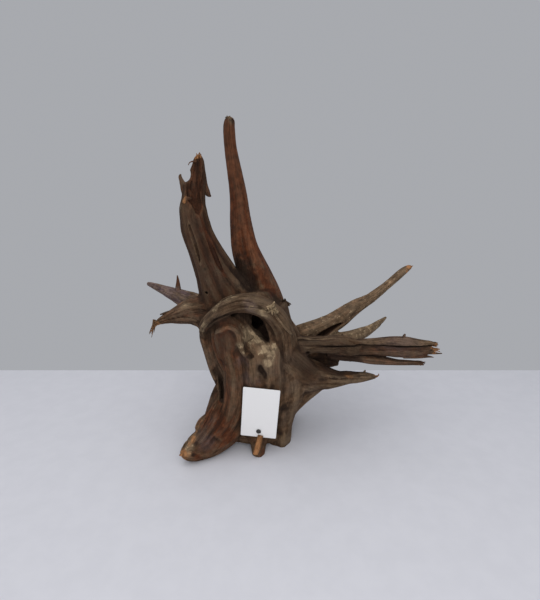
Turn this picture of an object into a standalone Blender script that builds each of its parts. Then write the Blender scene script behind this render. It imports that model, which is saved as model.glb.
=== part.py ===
"""A driftwood root stump, as sold for aquariums, with its blank shop tag tacked to the front.

The stump is one piece of wood: a hollowed trunk on four root feet, a tall spike and a
broken hollow limb above, roots thrown out to both sides, and a root looped over a hollow
at the front. Metres, +Z up, the front towards -Y, the origin on the ground at the middle
of the piece's box.
"""

import math
import random

import bmesh
import bpy
from mathutils import Matrix, Vector

# Every size below is in millimetres.
MM = 0.001
CLEARANCE = 0.3

# The card's middle lies on the slope of the trunk, and its hole is near its lower edge.
TAG_WIDTH = 38.0
TAG_HEIGHT = 62.0
TAG_THICKNESS = 0.8
TAG_CORNER = 1.2
TAG_HOLE_RADIUS = 2.0
TAG_HOLE_UP = 8.0
TAG_MIDDLE = (-10.5, -47.5, 53.0)
TAG_UP = (0.07, -0.14, 0.988)
TAG_ACROSS = (0.984, -0.05, -0.157)
TACK_HEAD_RADIUS = 2.6
TACK_HEAD_HEIGHT = 1.3
TACK_SHANK_RADIUS = 0.9
TACK_HEAD_RIM = 0.3
TACK_SHANK_LENGTH = 9.0
PEG_SIDES = 28
TACK_POINT_LENGTH = 2.0
BED_MARGIN = 1.0
BED_REACH = 20.0

# How finely the wood is made.
GROWTH_GRAIN = 2.0
BODY_TRIANGLES = 6150
RING_SIDES = 18
RING_SPACING = 5.0
SPLINTER_SIDES = 7
SPLINTER_SPACING = 11.0
HOLLOW_SIDES = 9
HOLLOW_SPACING = 8.0
SLIT_SIDES = 6
SLIT_SPACING = 16.0
SMOOTHING_ROUNDS = 3
ROOT_FLUTES = 0.09
SINEW_FLUTES = 0.1
HOLLOW_FLUTES = 0.08
SPLINTER_FLUTES = 0.12
SINEW_SIDES = 8
SINEW_SWELL = (0.55, 0.9, 1.0, 1.0, 1.0, 0.9, 0.55)
SINEW_SINKING = 0.93
FIBRE_SIDES = 5
FIBRE_SPACING = 4.0
FIBRE_TAPER = ((-0.45, 1.3), (0.2, 1.0), (0.65, 0.75), (1.0, 0.4))
FIBRE_SPREAD = 1.6
FIBRE_SPLAY = 0.45
FIBRE_DROOP = 0.08
THINNEST = 0.2

# Each root is a line of stations: x, y, z of its middle, then its half width as seen from
# the front and its half depth from front to back. They are placed about a point on the
# ground under the trunk, and the finished piece is moved to the middle of its box.
ROOTS = {
    "trunk": [
        (-10, 0, 3, 22, 24),
        (-10, -1, 20, 33, 31),
        (-10, -2, 48, 43, 38),
        (-9, -2, 76, 48, 42),
        (-15, 0, 104, 51, 44),
        (-25, 0, 132, 49, 43),
        (-28, 2, 156, 42, 37),
        (-28, 4, 174, 30, 28),
    ],
    "spike": [
        (-2, 6, 118, 27, 26),
        (-8, 11, 158, 22, 22),
        (-15, 13, 182, 18.5, 19),
        (-22, 14, 202, 16, 17),
        (-27, 15, 219, 14, 14),
        (-31, 18, 246, 11, 12),
        (-33, 20, 271, 9.3, 10),
        (-37, 22, 296, 7.8, 8.5),
        (-41, 24, 320, 6.6, 7),
        (-42.5, 25, 340, 6.1, 6.4),
        (-41.5, 25, 348, 5.2, 5.4),
        (-41.5, 25, 351, 2.4, 2.6),
    ],
    "broken_limb": [
        (-35, -2, 140, 30, 26),
        (-46, -4, 168, 27, 24),
        (-53, -6, 184, 22.5, 21),
        (-58, -8, 198, 18.5, 18),
        (-64, -8, 211, 16.2, 16),
        (-69, -8, 224, 14.6, 15),
        (-73.3, -8, 236, 13.9, 14),
        (-76, -8, 248, 13.9, 13.5),
        (-77.5, -8, 260, 13.5, 13),
        (-76, -7, 270, 11.2, 12),
        (-74.6, -6, 281, 9.9, 11),
        (-72.6, -6, 291, 8.9, 9),
        (-70.9, -6, 299, 7, 8),
        (-70, -6, 306.5, 5.4, 6),
        (-69.8, -6, 312, 3, 4),
    ],
    "left_root": [
        (-40, -4, 140, 24, 22),
        (-60, -5, 148, 20, 18),
        (-75, -8, 152, 16, 14),
        (-85, -12, 153, 12.5, 12),
        (-95, -15, 151, 9.5, 9.5),
        (-105, -18, 149, 6.5, 7),
        (-113, -20, 146.5, 4.6, 5),
        (-120, -22, 143, 3, 3.2),
        (-123, -22.5, 141, 2, 2),
    ],
    "back_left_root": [
        (-50, 18, 135, 20, 16),
        (-76, 34, 143, 14, 12),
        (-93, 46, 148, 12, 9),
        (-108, 57, 151, 9.6, 8),
        (-120, 64, 154, 8, 6.5),
        (-132, 70, 157, 6.4, 5),
        (-143, 75, 160, 4.8, 4),
        (-152, 78, 162.6, 3.4, 3),
        (-157, 80, 163.8, 2.2, 2),
    ],
    "long_right_root": [
        (10, 18, 104, 18, 16),
        (24, 25, 107, 15, 14),
        (42, 34, 111.5, 13, 13),
        (63, 43, 116, 12.4, 11.5),
        (79, 52, 121, 11.2, 10.5),
        (92, 59, 127, 10, 9.5),
        (101, 63, 132.5, 9.6, 9),
        (109, 66.5, 137, 8, 8),
        (118, 70, 140.5, 6.6, 7),
        (128, 75, 145, 6.3, 6.5),
        (138, 80, 150.5, 6, 6),
        (148, 86, 157, 5, 5),
        (160, 92, 164.5, 5.6, 5.2),
        (172, 98, 173.5, 5.8, 5.2),
        (181, 102, 179, 4.6, 4.2),
        (187, 105, 180.5, 2.6, 2.5),
    ],
    "short_right_root": [
        (40, 20, 98, 14, 12),
        (70, 30, 101, 10.4, 9.5),
        (94, 39, 104.8, 8, 7.6),
        (108, 45, 107, 7.2, 7),
        (118, 50, 109.2, 6.7, 6),
        (128, 56.5, 112.2, 5.2, 5.2),
        (138, 64, 115.8, 4.2, 4),
        (147, 71, 119.2, 2.5, 2.3),
        (150.5, 73.5, 120.8, 1.7, 1.6),
    ],
    "split_root": [
        (15, -10, 113, 17, 20),
        (33, -12, 114.3, 9.4, 18),
        (49, -12, 116, 7.2, 16),
        (63, -11, 115, 8.8, 14),
        (77, -10, 115, 10, 11),
        (88, -9, 110.5, 9.2, 10),
        (98, -7, 108.5, 7, 8),
    ],
    "lower_right_root": [
        (24, -12, 84, 25, 22),
        (40, -14, 80.5, 19, 18),
        (55, -13, 78.2, 14.2, 14),
        (67, -13, 76.8, 10.6, 12),
        (78, -12, 76.3, 7.6, 10),
        (87, -10, 76.8, 6.6, 9),
        (97, -8, 75.6, 5.7, 8),
        (107, -6, 75.4, 4.7, 7),
        (114, -5, 74.8, 3.1, 5),
        (119, -4, 74.5, 2.1, 3),
    ],
    "web_between_right_roots": [
        (30, 5, 98, 20, 14),
        (50, 8, 96, 18, 9),
        (68, 9, 94, 15, 6),
        (81, 9, 92, 11, 4),
    ],
    "arch": [
        (-64, -2, 118, 4, 7),
        (-70, -11, 130, 5, 9),
        (-67, -25, 143, 5.5, 10),
        (-55, -36, 157, 6.2, 12),
        (-42, -42, 167, 7.4, 13),
        (-28, -45, 171.5, 8.4, 13),
        (-14, -44, 169.5, 9, 13.5),
        (0, -41, 161.5, 9.6, 14.5),
        (10, -36, 148, 10, 15),
        (15, -30, 131, 11, 15),
        (17, -26, 112, 12, 15),
    ],
    "left_foot": [
        (-30, -8, 66, 26, 24),
        (-40, -15, 46, 27, 22),
        (-52, -27, 27, 23, 19),
        (-64, -38, 16, 18, 16),
        (-74, -46, 13, 14.5, 13),
        (-82, -52.5, 13, 12, 11),
        (-88, -57, 13.5, 8.6, 8.5),
        (-91.5, -60, 14, 4.6, 5),
    ],
    "left_edge_strand": [
        (-66, -8, 138, 8, 12),
        (-67, -10, 126, 9, 12),
        (-65, -11, 114, 8, 12),
        (-59, -14, 92, 8, 12),
        (-53, -19, 76, 7, 12),
        (-50, -24, 66, 7, 11),
        (-54, -31, 55, 8, 10),
        (-62.5, -39, 41, 8, 9),
        (-70.5, -46, 30, 7, 8),
        (-80, -52, 20, 6, 7),
    ],
    "front_left_strand": [
        (-40, -33, 138, 9, 12),
        (-38, -36, 122, 12, 12),
        (-35, -37, 92, 12, 11),
        (-38, -37, 62, 12, 12),
        (-46, -38, 38, 11, 11),
        (-58, -44, 24, 9, 9),
    ],
    "front_strand": [
        (-14, -36, 130, 10, 12),
        (-8, -42, 120, 17, 11),
        (-7, -41, 100, 18, 10),
        (-8, -37, 66, 19, 9),
        (-11, -33, 36, 17, 9),
        (-12, -33, 16, 11, 9),
        (-12.5, -39, 4, 7.5, 8),
        (-12.5, -41, -3, 6.5, 7),
    ],
    "right_strand": [
        (8, -30, 118, 15, 11),
        (24, -28, 100, 18, 12),
        (42, -21, 84, 15, 11),
        (60, -14, 78, 10, 10),
    ],
    "right_base": [
        (14, -20, 100, 22, 20),
        (20, -18, 74, 20, 20),
        (16, -14, 48, 17, 18),
        (12, -12, 24, 14, 16.5),
        (11.5, -12.5, 8, 13.3, 17),
        (11, -12.5, -3, 12.5, 16.5),
    ],
    "back_left_foot": [
        (-32, 12, 64, 24, 22),
        (-39, 27, 36, 18, 16),
        (-46, 38, 13, 13, 12),
        (-49, 43, -3, 10, 10),
    ],
    "back_right_foot": [
        (2, 10, 64, 22, 22),
        (11, 24, 34, 16, 15),
        (18, 36, 11, 11.5, 11),
        (21, 40, -3, 9, 9),
    ],
    "back_strand": [
        (-31, 22, 226, 5, 5),
        (-27, 24, 204, 9, 8),
        (-25, 29, 178, 12, 11),
        (-30, 34, 140, 13, 11),
        (-34, 36, 104, 13, 11),
        (-38, 34, 66, 12, 10),
        (-46, 38, 30, 9, 8),
    ],
    "back_right_strand": [
        (-18, 18, 208, 5, 6),
        (-8, 24, 184, 9, 9),
        (3, 28, 152, 12, 11),
        (10, 33, 118, 13, 11),
        (8, 34, 84, 12, 10),
        (14, 34, 48, 10, 9),
        (19, 38, 16, 8, 8),
    ],
    "front_skirt": [
        (-44, -24, 20, 12, 10),
        (-30, -26, 16, 11, 9),
        (-14, -27, 15, 11, 9),
        (2, -22, 14, 11, 9),
        (14, -16, 14, 11, 9),
    ],
    "fold_under_the_arch": [
        (-54, -42, 141, 1.8, 3),
        (-47.5, -46, 145, 2.2, 3.4),
        (-41, -47, 147.8, 2.4, 3.6),
        (-35.5, -48, 146.5, 2.3, 3.6),
        (-31.5, -48.5, 141, 2.3, 3.6),
        (-29.5, -48.5, 131, 2.3, 3.6),
        (-26.5, -48, 121, 2.2, 3.4),
        (-20, -47, 113.5, 1.6, 3),
    ],
    "right_shoulder": [
        (0, -14, 160, 17, 22),
        (6, -14, 140, 16, 22),
        (9, -14, 118, 17, 20),
        (14, -12, 96, 18, 18),
    ],
    "foot_knob_high": [(-66, -35, 45, 3, 4), (-72.5, -41, 39, 5.2, 6), (-78, -47, 33, 3, 4)],
    "foot_knob_low": [
        (-77, -48, 30, 3, 4),
        (-82, -52, 23, 5, 6),
        (-88, -57, 16, 4, 5),
    ],
    "left_flank_strand": [
        (-60, 14, 132, 9, 8),
        (-60, 12, 108, 9, 8),
        (-54, 12, 82, 9, 8),
        (-50, 16, 58, 9, 8),
        (-50, 30, 30, 7, 7),
    ],
    "right_flank_strand": [
        (30, 10, 108, 9, 9),
        (30, 6, 88, 10, 9),
        (27, 4, 64, 10, 9),
        (24, 2, 40, 9, 9),
        (20, 0, 18, 7, 8),
    ],
    "right_gusset": [
        (60, -13, 74, 7, 8),
        (49.6, -14, 68.2, 9, 10),
        (36.2, -15, 57.6, 9, 12),
        (25.3, -14, 45.3, 9, 13),
        (18, -12, 32, 8, 12),
    ],
    "face_under_the_arch": [
        (-45, -34, 152, 9, 9),
        (-41, -37, 143, 15, 11),
        (-39, -38, 130, 17, 11),
        (-38, -37, 112, 15, 9),
    ],
}

# How many sinews stand out on a root, and how thick they are as a share of its half width.
SINEWS = {
    "trunk": (15, 0.13),
    "spike": (4, 0.14),
    "broken_limb": (8, 0.24),
    "left_root": (6, 0.26),
    "back_left_root": (5, 0.26),
    "long_right_root": (6, 0.26),
    "short_right_root": (4, 0.26),
    "split_root": (6, 0.2),
    "lower_right_root": (6, 0.22),
    "arch": (6, 0.24),
    "left_foot": (7, 0.16),
    "front_left_strand": (4, 0.3),
    "front_strand": (4, 0.26),
    "right_shoulder": (5, 0.2),
    "right_base": (6, 0.2),
    "back_left_foot": (5, 0.24),
    "back_right_foot": (5, 0.24),
}

# What rot and water took out of the wood, drawn the same way as the roots.
HOLLOWS = {
    "under_the_arch": [
        (-66, -42, 141, 0.8, 3),
        (-57, -47, 152.5, 1, 4),
        (-46.5, -50, 159, 1.3, 5),
        (-35.6, -51, 161.2, 1.5, 7),
        (-26, -50, 160, 2, 9),
        (-20.5, -47, 157, 2.8, 12),
        (-14, -44, 151, 4.2, 16),
        (-8.7, -40, 143.5, 4.3, 18),
        (-4.5, -38, 136.5, 3, 14),
        (-1.5, -37, 132, 1.2, 6),
    ],
    "into_the_trunk": [
        (-9.5, -42, 145, 4, 4),
        (-13, -28, 148, 8, 8),
        (-17, -12, 147, 9, 9),
        (-22, 2, 143, 5, 5),
    ],
    "pocket_between_right_roots": [
        (92, -8, 91.5, 9, 9),
        (83, -12, 93.5, 8, 10),
        (72, -15, 97, 7, 11),
        (62.8, -17, 100.7, 6.2, 12),
        (53.6, -19, 106, 5, 11),
        (46.5, -20, 111.2, 2.6, 8),
        (43.5, -21, 113.5, 1, 4),
    ],
    "broken_limb_throat": [
        (-70, -21, 256, 2, 3),
        (-71, -18, 262, 5, 6),
        (-74.5, -16, 270, 6.2, 8),
        (-75, -15, 284, 6.8, 10),
        (-72.8, -15, 298, 5.8, 10),
        (-70.5, -15, 318, 5, 10),
    ],
    "notch_beside_the_horn": [
        (-83, -20, 295.5, 3.9, 10),
        (-83, -4, 295.5, 3.9, 10),
        (-83, 12, 295.5, 3.9, 10),
    ],
    "under_the_stump": [
        (-12, -24, -4, 13, 9),
        (-14, -8, 0, 24, 17),
        (-14, 10, 0, 24, 17),
        (-14, 34, -4, 15, 10),
    ],
    "behind_the_left_edge": [
        (-63, -33, 118, 0.8, 3),
        (-60, -33, 106, 1.4, 5),
        (-56, -33, 93, 2, 7),
        (-52, -33, 79, 2.8, 9),
        (-51, -36, 64, 2.2, 7),
    ],
    "limb_groove": [
        (-80, -22, 248, 0.6, 2),
        (-78, -22.5, 240, 1, 2.4),
        (-74.5, -23, 228, 1.1, 2.6),
        (-71, -23.5, 215, 0.9, 2.4),
        (-69, -24, 206, 0.5, 2),
    ],
    "long_root_crack": [
        (38, 20, 104, 1.6, 5),
        (50, 28, 107.5, 2.6, 7),
        (64, 36, 113, 3.2, 8),
        (78, 43, 118.5, 2.2, 7),
        (86, 48, 121, 1.2, 4),
    ],
    "limb_foot_hole": [
        (-65, -28, 177.5, 1.4, 1.1),
        (-64, -21, 177, 2.6, 1.8),
        (-62.5, -14, 175.5, 1.6, 1.2),
    ],
    "front_dent": [
        (-10, -56, 109, 1.2, 2.6),
        (-9.5, -52, 104.5, 3, 4.4),
        (-6, -52, 98, 3, 4.6),
        (-5, -53, 93, 1.6, 3.4),
    ],
    "trough_beside_the_fold": [
        (-26.5, -52, 143, 1.8, 3.6),
        (-25, -52, 134, 3, 5),
        (-23, -52, 125, 3, 5),
        (-16.5, -52, 117, 2, 4),
    ],
    "limb_red_groove": [
        (-69, -21, 256, 0.8, 2),
        (-64, -22, 242, 1.6, 4),
        (-59, -23, 225, 2.2, 6),
        (-53, -24, 209, 2.2, 6),
        (-48, -27, 199, 1.2, 5),
        (-43, -29, 191, 0.6, 3),
    ],
    "second_left_groove": [
        (-58, -44, 132, 0.6, 2),
        (-53.5, -45, 122, 1, 3),
        (-50, -46, 106, 1.1, 3),
        (-46, -47, 88, 1.2, 3),
        (-43, -47, 70, 0.7, 2),
    ],
    "limb_edge_crack": [
        (-46, -19, 209, 0.5, 2),
        (-41, -21, 203, 0.9, 3),
        (-31, -25, 192, 1, 3.5),
        (-21, -29, 181, 0.8, 3),
        (-16, -31, 176, 0.4, 2),
    ],
    "limb_pit": [(-65, -27, 201.5, 0.9, 0.8), (-64, -22, 201, 1.5, 1.2), (-63, -18, 200, 0.8, 0.8)],
    "sleeve_pit": [(39.8, -34, 113.5, 1.4, 1), (39.6, -28, 113, 2, 1.4), (39.2, -22, 112.5, 1, 1)],
}

# Splinters, thorns and torn strands, too fine to grow with the rest.
SPLINTERS = {
    "split_top": [
        (60, -10, 117, 7, 10),
        (72, -9, 118.5, 6, 9.5),
        (80, -8, 119.6, 5.8, 9),
        (90, -7, 117.6, 3.8, 7.5),
        (99, -6, 116.6, 2.9, 6.5),
        (116, -6, 117, 3.9, 6.5),
        (132, -5, 116.6, 5, 6.5),
        (149, -5, 116.3, 5.3, 6),
        (166, -5, 114.9, 3.6, 5),
        (178, -5, 114.4, 2.2, 3),
        (184, -5, 112.8, 1.4, 1.6),
    ],
    "split_middle": [
        (62, -9, 109, 8, 9),
        (83, -8, 108, 6.4, 9),
        (99, -7, 108.2, 6.4, 8),
        (116, -6, 107.3, 6.5, 7.5),
        (133, -6, 105.9, 6.4, 7),
        (150, -5.5, 104.8, 6.3, 6.5),
        (162, -5, 104.8, 6.4, 5.5),
        (173, -5, 106.5, 4.8, 4),
        (180, -5, 107, 3.4, 2.6),
        (183.5, -5, 106.6, 2.2, 1.6),
    ],
    "split_middle_spine": [(168, -6, 103.4, 1.6, 1.8), (182, -6, 103, 1, 1.2), (191, -6, 103, 0.5, 0.5)],
    "split_bottom": [
        (66, -8, 103, 5, 8),
        (83, -8, 99.6, 3.4, 7),
        (94, -7, 98.3, 4, 6.5),
        (103, -7, 97, 4.6, 6),
        (111, -7, 96, 5, 6),
        (125, -6, 94.4, 4.8, 5.5),
        (141, -6, 92.6, 3.6, 4.5),
        (157, -5, 91.5, 3, 3.8),
        (167, -5, 91.2, 2.8, 3.4),
        (171, -5, 91.3, 2.4, 2.6),
    ],
    "split_thorn": [(147, -5, 119, 2.2, 2.2), (147.5, -5, 122.8, 1.7, 1.7), (148.5, -5, 125.6, 0.8, 0.8)],
    "limb_horn": [
        (-80, -6, 268, 6, 4),
        (-84.3, -8, 278, 4, 3.4),
        (-86.8, -9.5, 286, 2.5, 2.8),
        (-88.2, -10, 290.5, 1.7, 2),
        (-87.4, -10, 293.6, 0.8, 0.8),
    ],
    "limb_spur": [
        (-68, 0, 306, 1.6, 2.6),
        (-66.6, 0, 294, 2.2, 2.6),
        (-65.4, -1, 284, 2.4, 2.4),
        (-64, -2, 277, 3.2, 2),
        (-61.6, -3, 273.3, 2.2, 1.2),
        (-59.4, -3.5, 272, 0.5, 0.5),
    ],
    "limb_torn_lip": [
        (-84, -18, 263, 3, 3),
        (-82.5, -19, 268.5, 2.2, 2),
        (-79, -20, 270.5, 1.4, 1.4),
        (-76, -20.5, 270, 0.6, 0.6),
    ],
    "back_left_spur": [
        (-113, 58, 150, 6, 3.6),
        (-112.6, 59, 161, 3.6, 2.4),
        (-112.8, 61, 171, 1.8, 1.4),
        (-113.5, 62, 177.5, 0.6, 0.6),
    ],
    "left_root_hook": [(-98, -16, 155, 2.6, 3), (-107, -18, 154, 1.8, 2), (-115, -20, 152.5, 0.6, 0.7)],
    "front_stub_chip": [(-10, -44.5, 25, 3.1, 1.7), (-13, -47, 14, 3.3, 1.7), (-16, -49, 5, 2.8, 1.5)],
    "lower_root_tip": [
        (117, -4, 74, 2, 2.2),
        (121, -3.4, 74, 1.2, 1.2),
        (123.4, -3, 75.6, 0.6, 0.6),
        (123, -3, 77, 0.4, 0.4),
    ],
    "split_lower_tip": [
        (148, -6, 100.6, 3, 5),
        (165, -6, 99.9, 2.4, 3.5),
        (176, -5, 99, 1.3, 1.6),
        (183, -5, 98, 0.5, 0.6),
    ],
    "sleeve_thorn": [(78, -8, 122, 1.8, 1.8), (78.5, -8, 125.6, 1, 1), (79, -8, 127.2, 0.5, 0.5)],
    "limb_twig": [
        (-72, -8, 305, 1.2, 1.2),
        (-76, -9, 305, 0.7, 0.7),
        (-78.5, -10, 303.6, 0.5, 0.5),
        (-79.5, -10, 301.5, 0.4, 0.4),
    ],
    "lower_root_knob": [(105, -6, 78, 2, 2), (106.5, -6, 81.4, 1.3, 1.3), (107, -6, 83, 0.6, 0.6)],
}

# The open slits between the strips of the split root.
SLITS = {
    "upper_slit": [
        (46, -29, 119.8, 0.4, 2),
        (58, -25, 118.6, 0.8, 4),
        (77, -18, 117, 0.8, 4.5),
        (98, -12.5, 115.6, 0.7, 4),
        (115, -11, 114.7, 0.7, 4),
        (131, -10, 113.4, 0.9, 4),
        (147, -9.5, 112.2, 1.1, 4),
        (164, -8.5, 112.6, 0.9, 4),
        (180, -7, 113.2, 0.6, 3),
    ],
    "lower_slit": [
        (80, -16, 103.6, 0.4, 2),
        (90, -13.5, 103.4, 0.6, 3.5),
        (99, -13, 103, 0.7, 4),
        (115, -11, 101.6, 0.8, 4),
        (131, -10, 100.1, 1, 4.5),
        (141, -9, 98, 1.2, 5),
    ],
}

# Tufts of torn fibre: where they spring from, which way they reach, how long, how many.
TUFTS = {
    "left_root_fray": ((-121, -22, 142.5), (-0.35, -0.1, -0.9), 12.0, 5, 0.75),
    "right_shoulder_twigs": ((14, -8, 162), (0.75, -0.25, 0.45), 9.0, 4, 0.95),
    "arch_tuft": ((1, -50, 171), (0.3, -0.75, 0.5), 6.5, 4, 1.0),
    "spike_knob": ((-41.5, 24, 347.5), (0.1, -0.1, 1.0), 4.5, 4, 1.1),
    "limb_top": ((-69.5, -6, 309), (0.1, -0.1, 1.0), 6.0, 4, 1.0),
    "split_root_ends": ((181, -5, 108), (1.0, 0.0, 0.0), 8.0, 5, 0.9),
    "long_root_tip": ((185, 104, 180), (0.9, 0.35, 0.1), 5.0, 3, 0.8),
}


def clear_scene():
    for obj in list(bpy.data.objects):
        bpy.data.objects.remove(obj)


def as_object(bm, name):
    """The shape as an object, with its faces pointing out."""
    if bm.calc_volume(signed=True) < 0:
        bmesh.ops.reverse_faces(bm, faces=bm.faces)
    mesh = bpy.data.meshes.new(name)
    bm.to_mesh(mesh)
    bm.free()
    obj = bpy.data.objects.new(name, mesh)
    bpy.context.scene.collection.objects.link(obj)
    return obj


def station_at(stations, share):
    """The station at a share of the way along, on a smooth curve through all of them."""
    places = [Vector(s[:3]) for s in stations]
    steps = [(b - a).length for a, b in zip(places, places[1:])]
    reach = share * sum(steps)
    last = len(steps) - 1
    index = 0
    while index < last and reach > steps[index]:
        reach -= steps[index]
        index += 1
    t = min(1.0, reach / steps[index])
    before = stations[max(0, index - 1)]
    start, end = stations[index], stations[index + 1]
    after = stations[min(last + 1, index + 2)]
    return [
        0.5 * (2 * q + (r - p) * t + (2 * p - 5 * q + 4 * r - s) * t**2 + (3 * q - p - 3 * r + s) * t**3)
        for p, q, r, s in zip(before, start, end, after)
    ]


def line_length(stations):
    places = [Vector(s[:3]) for s in stations]
    return sum((b - a).length for a, b in zip(places, places[1:]))


def fluting(seed, strength):
    """How far a root's skin stands in or out, as a share, by the angle round it and the way along."""
    draw = random.Random(seed)
    waves = [(lobes, draw.uniform(0, math.tau), draw.uniform(-0.012, 0.012)) for lobes in (2, 3, 5, 7)]
    weights = (0.35, 0.45, 0.5, 0.3)

    def swell(angle, along):
        bulge = sum(
            weight * math.cos(lobes * angle + phase + lobes * drift * along)
            for weight, (lobes, phase, drift) in zip(weights, waves)
        )
        return 1 + strength * bulge

    return swell


def frame_along(stations, share):
    """Middle, across and deep directions, half width and half depth at a share of the way along."""
    x, y, z, half_width, half_depth = station_at(stations, share)
    ahead = Vector(station_at(stations, min(1.0, share + 0.02))[:3])
    behind = Vector(station_at(stations, max(0.0, share - 0.02))[:3])
    heading = (ahead - behind).normalized()
    deep = Vector((0, 1, 0)) - heading * heading.y
    if deep.length < 0.35:
        deep = Vector((0, 0, 1)) - heading * heading.z
    deep.normalize()
    across = deep.cross(heading)
    return Vector((x, y, z)), across, deep, max(THINNEST, half_width), max(THINNEST, half_depth)


def grow(name, stations, sides, spacing, flute):
    """One root as a closed mesh: a ball drawn out along its line, ring by ring."""
    rings = max(3, round(line_length(stations) / spacing)) + 1
    swell = fluting(name, flute)
    bm = bmesh.new()
    bmesh.ops.create_uvsphere(bm, u_segments=sides, v_segments=rings + 1, radius=1.0)
    for vert in bm.verts:
        ring = round(math.acos(max(-1.0, min(1.0, vert.co.z))) / math.pi * (rings + 1))
        angle = math.atan2(vert.co.y, vert.co.x)
        share = min(1.0, max(0.0, (ring - 1) / (rings - 1)))
        middle, across, deep, half_width, half_depth = frame_along(stations, share)
        at_pole = ring in (0, rings + 1)
        out = 0.0 if at_pole else swell(angle, share * line_length(stations))
        spot = middle + (across * math.cos(angle) * half_width + deep * math.sin(angle) * half_depth) * out
        vert.co = spot * MM
    return as_object(bm, name)


def sinews(name, stations, count, thickness):
    """Strands of grown-over grain that stand out along a root and wander round it."""
    draw = random.Random("sinews " + name)
    strands = []
    for number in range(count):
        angle = math.tau * (number + draw.uniform(-0.3, 0.3)) / count
        start, end = draw.uniform(0.02, 0.3), draw.uniform(0.7, 0.97)
        drift = draw.uniform(-0.5, 0.5)
        path = []
        for step, swell in enumerate(SINEW_SWELL):
            way = step / (len(SINEW_SWELL) - 1)
            share = start + (end - start) * way
            middle, across, deep, half_width, half_depth = frame_along(stations, share)
            turned = angle + drift * way + draw.uniform(-0.08, 0.08)
            rim = across * math.cos(turned) * half_width + deep * math.sin(turned) * half_depth
            own = min(half_width, half_depth) * thickness * swell
            path.append((*(middle + rim * SINEW_SINKING), own, own))
        strands.append(grow(f"{name} sinew {number}", path, SINEW_SIDES, RING_SPACING, SINEW_FLUTES))
    return strands


def tuft(name, root, reach, length, count, radius):
    """Torn fibres that spring from one spot and splay a little."""
    draw = random.Random(name)
    strands = []
    for number in range(count):
        turned = [part + draw.uniform(-FIBRE_SPLAY, FIBRE_SPLAY) for part in reach]
        heading = Vector(turned).normalized()
        start = Vector(root) + Vector([draw.uniform(-FIBRE_SPREAD, FIBRE_SPREAD) for _ in range(3)])
        own_length = length * draw.uniform(0.6, 1.0)
        stations = []
        for step, (share, thickness) in enumerate(FIBRE_TAPER):
            droop = Vector((0, 0, -FIBRE_DROOP * own_length * step))
            middle = start + heading * own_length * share + droop
            stations.append((*middle, radius * thickness, radius * thickness))
        strands.append(grow(f"{name} {number}", stations, FIBRE_SIDES, FIBRE_SPACING, 0.0))
    return strands


def join(objects, name):
    """The objects' meshes as one object."""
    bm = bmesh.new()
    for obj in objects:
        bm.from_mesh(obj.data)
        bpy.data.objects.remove(obj)
    return as_object(bm, name)


def apply_modifiers(obj):
    graph = bpy.context.evaluated_depsgraph_get()
    made = bpy.data.meshes.new_from_object(obj.evaluated_get(graph))
    obj.modifiers.clear()
    obj.data = made


def remesh(obj, size):
    modifier = obj.modifiers.new("remesh", "REMESH")
    modifier.mode = "VOXEL"
    modifier.voxel_size = size * MM
    apply_modifiers(obj)


def smooth(obj, rounds):
    modifier = obj.modifiers.new("smooth", "SMOOTH")
    modifier.iterations = rounds
    apply_modifiers(obj)


def combine(obj, others, operation):
    """A Boolean of obj with each closed piece in turn, which are used up.

    The manifold solver is used because the exact one is slow over so many pieces.
    """
    for other in others:
        modifier = obj.modifiers.new(other.name, "BOOLEAN")
        modifier.operation = operation
        modifier.object = other
        modifier.solver = "MANIFOLD"
    apply_modifiers(obj)
    for other in others:
        bpy.data.objects.remove(other)


def thin_to(obj, triangles):
    """Fewer, larger triangles where the wood is smooth."""
    obj.data.calc_loop_triangles()
    modifier = obj.modifiers.new("fewer", "DECIMATE")
    modifier.ratio = triangles / len(obj.data.loop_triangles)
    apply_modifiers(obj)


def keep_main_piece(obj):
    """Drop crumbs and sealed bubbles, so that one closed piece is left."""
    bm = bmesh.new()
    bm.from_mesh(obj.data)
    waiting = set(bm.verts)
    pieces = []
    while waiting:
        front = [waiting.pop()]
        piece = set(front)
        while front:
            for edge in front.pop().link_edges:
                for vert in edge.verts:
                    if vert in waiting:
                        waiting.remove(vert)
                        piece.add(vert)
                        front.append(vert)
        pieces.append(piece)
    pieces.sort(key=len)
    crumbs = [vert for piece in pieces[:-1] for vert in piece]
    bmesh.ops.delete(bm, geom=crumbs, context="VERTS")
    bm.to_mesh(obj.data)
    bm.free()


def slab(name, low, high):
    """A plain block between two corners."""
    bm = bmesh.new()
    bmesh.ops.create_cube(bm, size=1.0)
    low, high = Vector(low), Vector(high)
    for vert in bm.verts:
        vert.co = Vector([a + (b - a) * (c + 0.5) for a, b, c in zip(low, high, vert.co)]) * MM
    return as_object(bm, name)


def paint(obj, name, colour, roughness):
    made = bpy.data.materials.new(name)
    made.use_nodes = True
    shader = made.node_tree.nodes["Principled BSDF"]
    shader.inputs["Base Color"].default_value = (*colour, 1.0)
    shader.inputs["Roughness"].default_value = roughness
    shader.inputs["Metallic"].default_value = 0.0
    obj.data.materials.append(made)


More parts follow.
